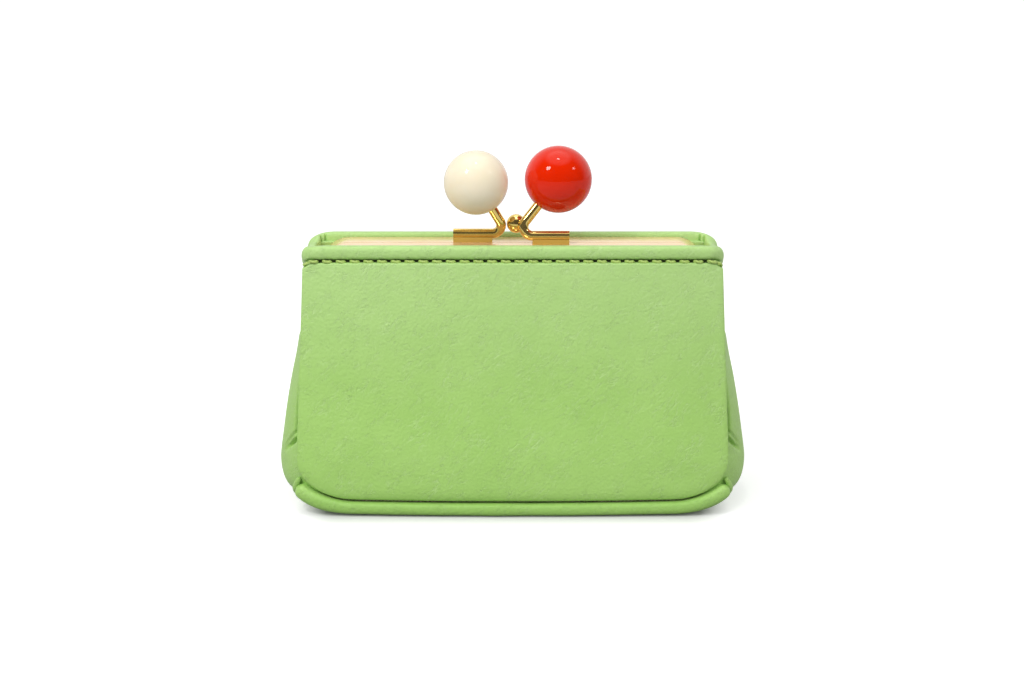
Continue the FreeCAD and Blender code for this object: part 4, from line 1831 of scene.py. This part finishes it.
@dataclass
class Studio:
    """A white table top under wide soft lamps, seen from a little above.

    A sun has its name, the direction to it, the angle that it fills in degrees, and how bright a
    white surface is that faces it. A window has its name, place, width, and its brightness as a
    polished surface shows it.
    """

    camera_place: tuple[float, float, float] = (-0.2, -571.75, 179.0)
    look_down: float = math.radians(13.06)
    focal_pixels: float = 1972.0
    picture_width: float = 1024.0
    sensor: float = 36.0
    floor_half: float = 6000.0
    floor_drop: float = 0.05
    aim: tuple[float, float, float] = (0.0, 0.0, 45.0)
    suns: tuple[tuple[str, tuple[float, float, float], float, float], ...] = (
        ("key", (-0.58, -0.66, 0.42), 50.0, 0.345),
        ("fill", (0.72, -0.6, 0.34), 60.0, 0.235),
    )
    sun_distance: float = 1000.0
    windows: tuple[tuple[str, tuple[float, float, float], float, float], ...] = (
        ("left_window", (-266.0, -267.0, 443.0), 109.0, 22.0),
        ("top_window", (0.0, -90.0, 690.0), 70.0, 20.0),
        ("right_window", (450.0, -190.0, 450.0), 70.0, 16.0),
    )
    room_light: float = 0.54
    back_wall: tuple[float, float] = (-0.1, 0.5)
    dark_side: float = 0.03
    ceiling: tuple[float, float] = (0.78, 0.94)
    overhead: float = 1.5

    def camera(self) -> None:
        """Set up the camera at the photograph's place and angle."""
        data = bpy.data.cameras.new("camera")
        data.sensor_width = self.sensor
        data.lens = self.focal_pixels * self.sensor / self.picture_width
        data.clip_start = 0.01
        camera = bpy.data.objects.new("camera", data)
        camera.location = Vector(self.camera_place) * MM
        camera.rotation_euler = (QUARTER - self.look_down, 0.0, 0.0)
        bpy.context.scene.collection.objects.link(camera)
        bpy.context.scene.camera = camera

    def floor(self) -> None:
        """Lay the pale floor, which the camera sees as white away from a painted shadow zone round the
        purse.
        """
        wide, low = self.floor_half, -self.floor_drop
        blank = Blank("floor")
        blank.grid(2, 2, lambda across, up: Vector((across * wide, up * wide, low)))
        blank.face(UP)
        floor = blank.done(TABLE, levels=0)

    def hang(self, data: Light, place: Vector) -> Object:
        """Put a lamp at a place, facing the purse.

        Args:
            data: The lamp.
            place: Its middle.

        Returns:
            The hung lamp.
        """
        lamp = bpy.data.objects.new(data.name, data)
        lamp.location = place * MM
        lamp.rotation_euler = (Vector(self.aim) - place).to_track_quat("-Z", "Y").to_euler()
        bpy.context.scene.collection.objects.link(lamp)
        return lamp

    def lamps(self) -> None:
        """Add the wide soft suns, which polished pieces don't show, and the windows that they do."""
        for name, towards, spread, level in self.suns:
            data = bpy.data.lights.new(name, "SUN")
            data.angle = math.radians(spread)
            data.energy = level * math.pi
            self.hang(data, Vector(towards) * self.sun_distance).visible_glossy = False
        for name, place, size, glow in self.windows:
            data = bpy.data.lights.new(name, "AREA")
            data.shape = "SQUARE"
            data.size = size * MM
            data.energy = glow * math.pi * (size * MM) ** 2
            self.hang(data, Vector(place))

    def world(self) -> None:
        """Fill the room with soft light, white behind the purse and dim behind the camera."""
        world = bpy.data.worlds.new("studio")
        world.use_nodes = True
        bpy.context.scene.world = world
        tree = world.node_tree
        way = add_node(tree, "TexCoord", out="Generated")
        glows = []
        for axis, (start, end), least, most in (
            ("Y", self.back_wall, self.dark_side, 1.0),
            ("Z", self.ceiling, 0.0, self.overhead),
        ):
            share = add_node(tree, "SeparateXYZ", {"Vector": way}, axis)
            span = {"From Min": start, "From Max": end, "To Min": least, "To Max": most}
            glows.append(add_node(tree, "MapRange", {"Value": share, **span}, **SMOOTH))
        level = add_node(tree, "Math", dict(enumerate(glows)), operation="ADD")
        for ray, strength in (("Is Camera Ray", 1.0), ("Is Diffuse Ray", self.room_light)):
            chosen = {0: add_node(tree, "LightPath", out=ray), 2: level, 3: strength}
            level = add_node(tree, "Mix", chosen, data_type="FLOAT")
        plug(tree, tree.nodes["Background"], {"Color": WHITE, "Strength": level})

    def build(self) -> None:
        """Set up camera, floor, lamps and room."""
        bpy.context.scene.view_settings.view_transform = "Standard"
        self.camera()
        self.floor()
        self.lamps()
        self.world()


def main() -> None:
    """Build the purse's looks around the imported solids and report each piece."""
    logging.basicConfig(level=logging.INFO, format="%(name)s: %(message)s")
    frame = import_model()
    form = PurseForm.from_frame()
    dress_solids(frame)
    pieces: list[Object] = []
    for half in Half:
        pieces += [
            PanelSkin(form, half).build(),
            RimRoll(form, half).build(),
            StitchRow(form, half).build(),
            SeamShadeStrip(form, half).build(),
            PanelLining(form, half).build(),
        ]
        for side in Side:
            pieces += [
                SideStrip(form, half, side).build(),
                GussetSkin(form, half, side).build(),
                GussetSkin(form, half, side, depth=1.4, top_trim=14.0).build(),
            ]
    pieces += PurseBase(form).build()
    pieces.append(BaseLining().build())
    for piece in pieces:
        LOG.info("made %s with %d faces", piece.name, len(piece.data.polygons))
    Studio().build()


if __name__ == "__main__":
    main()
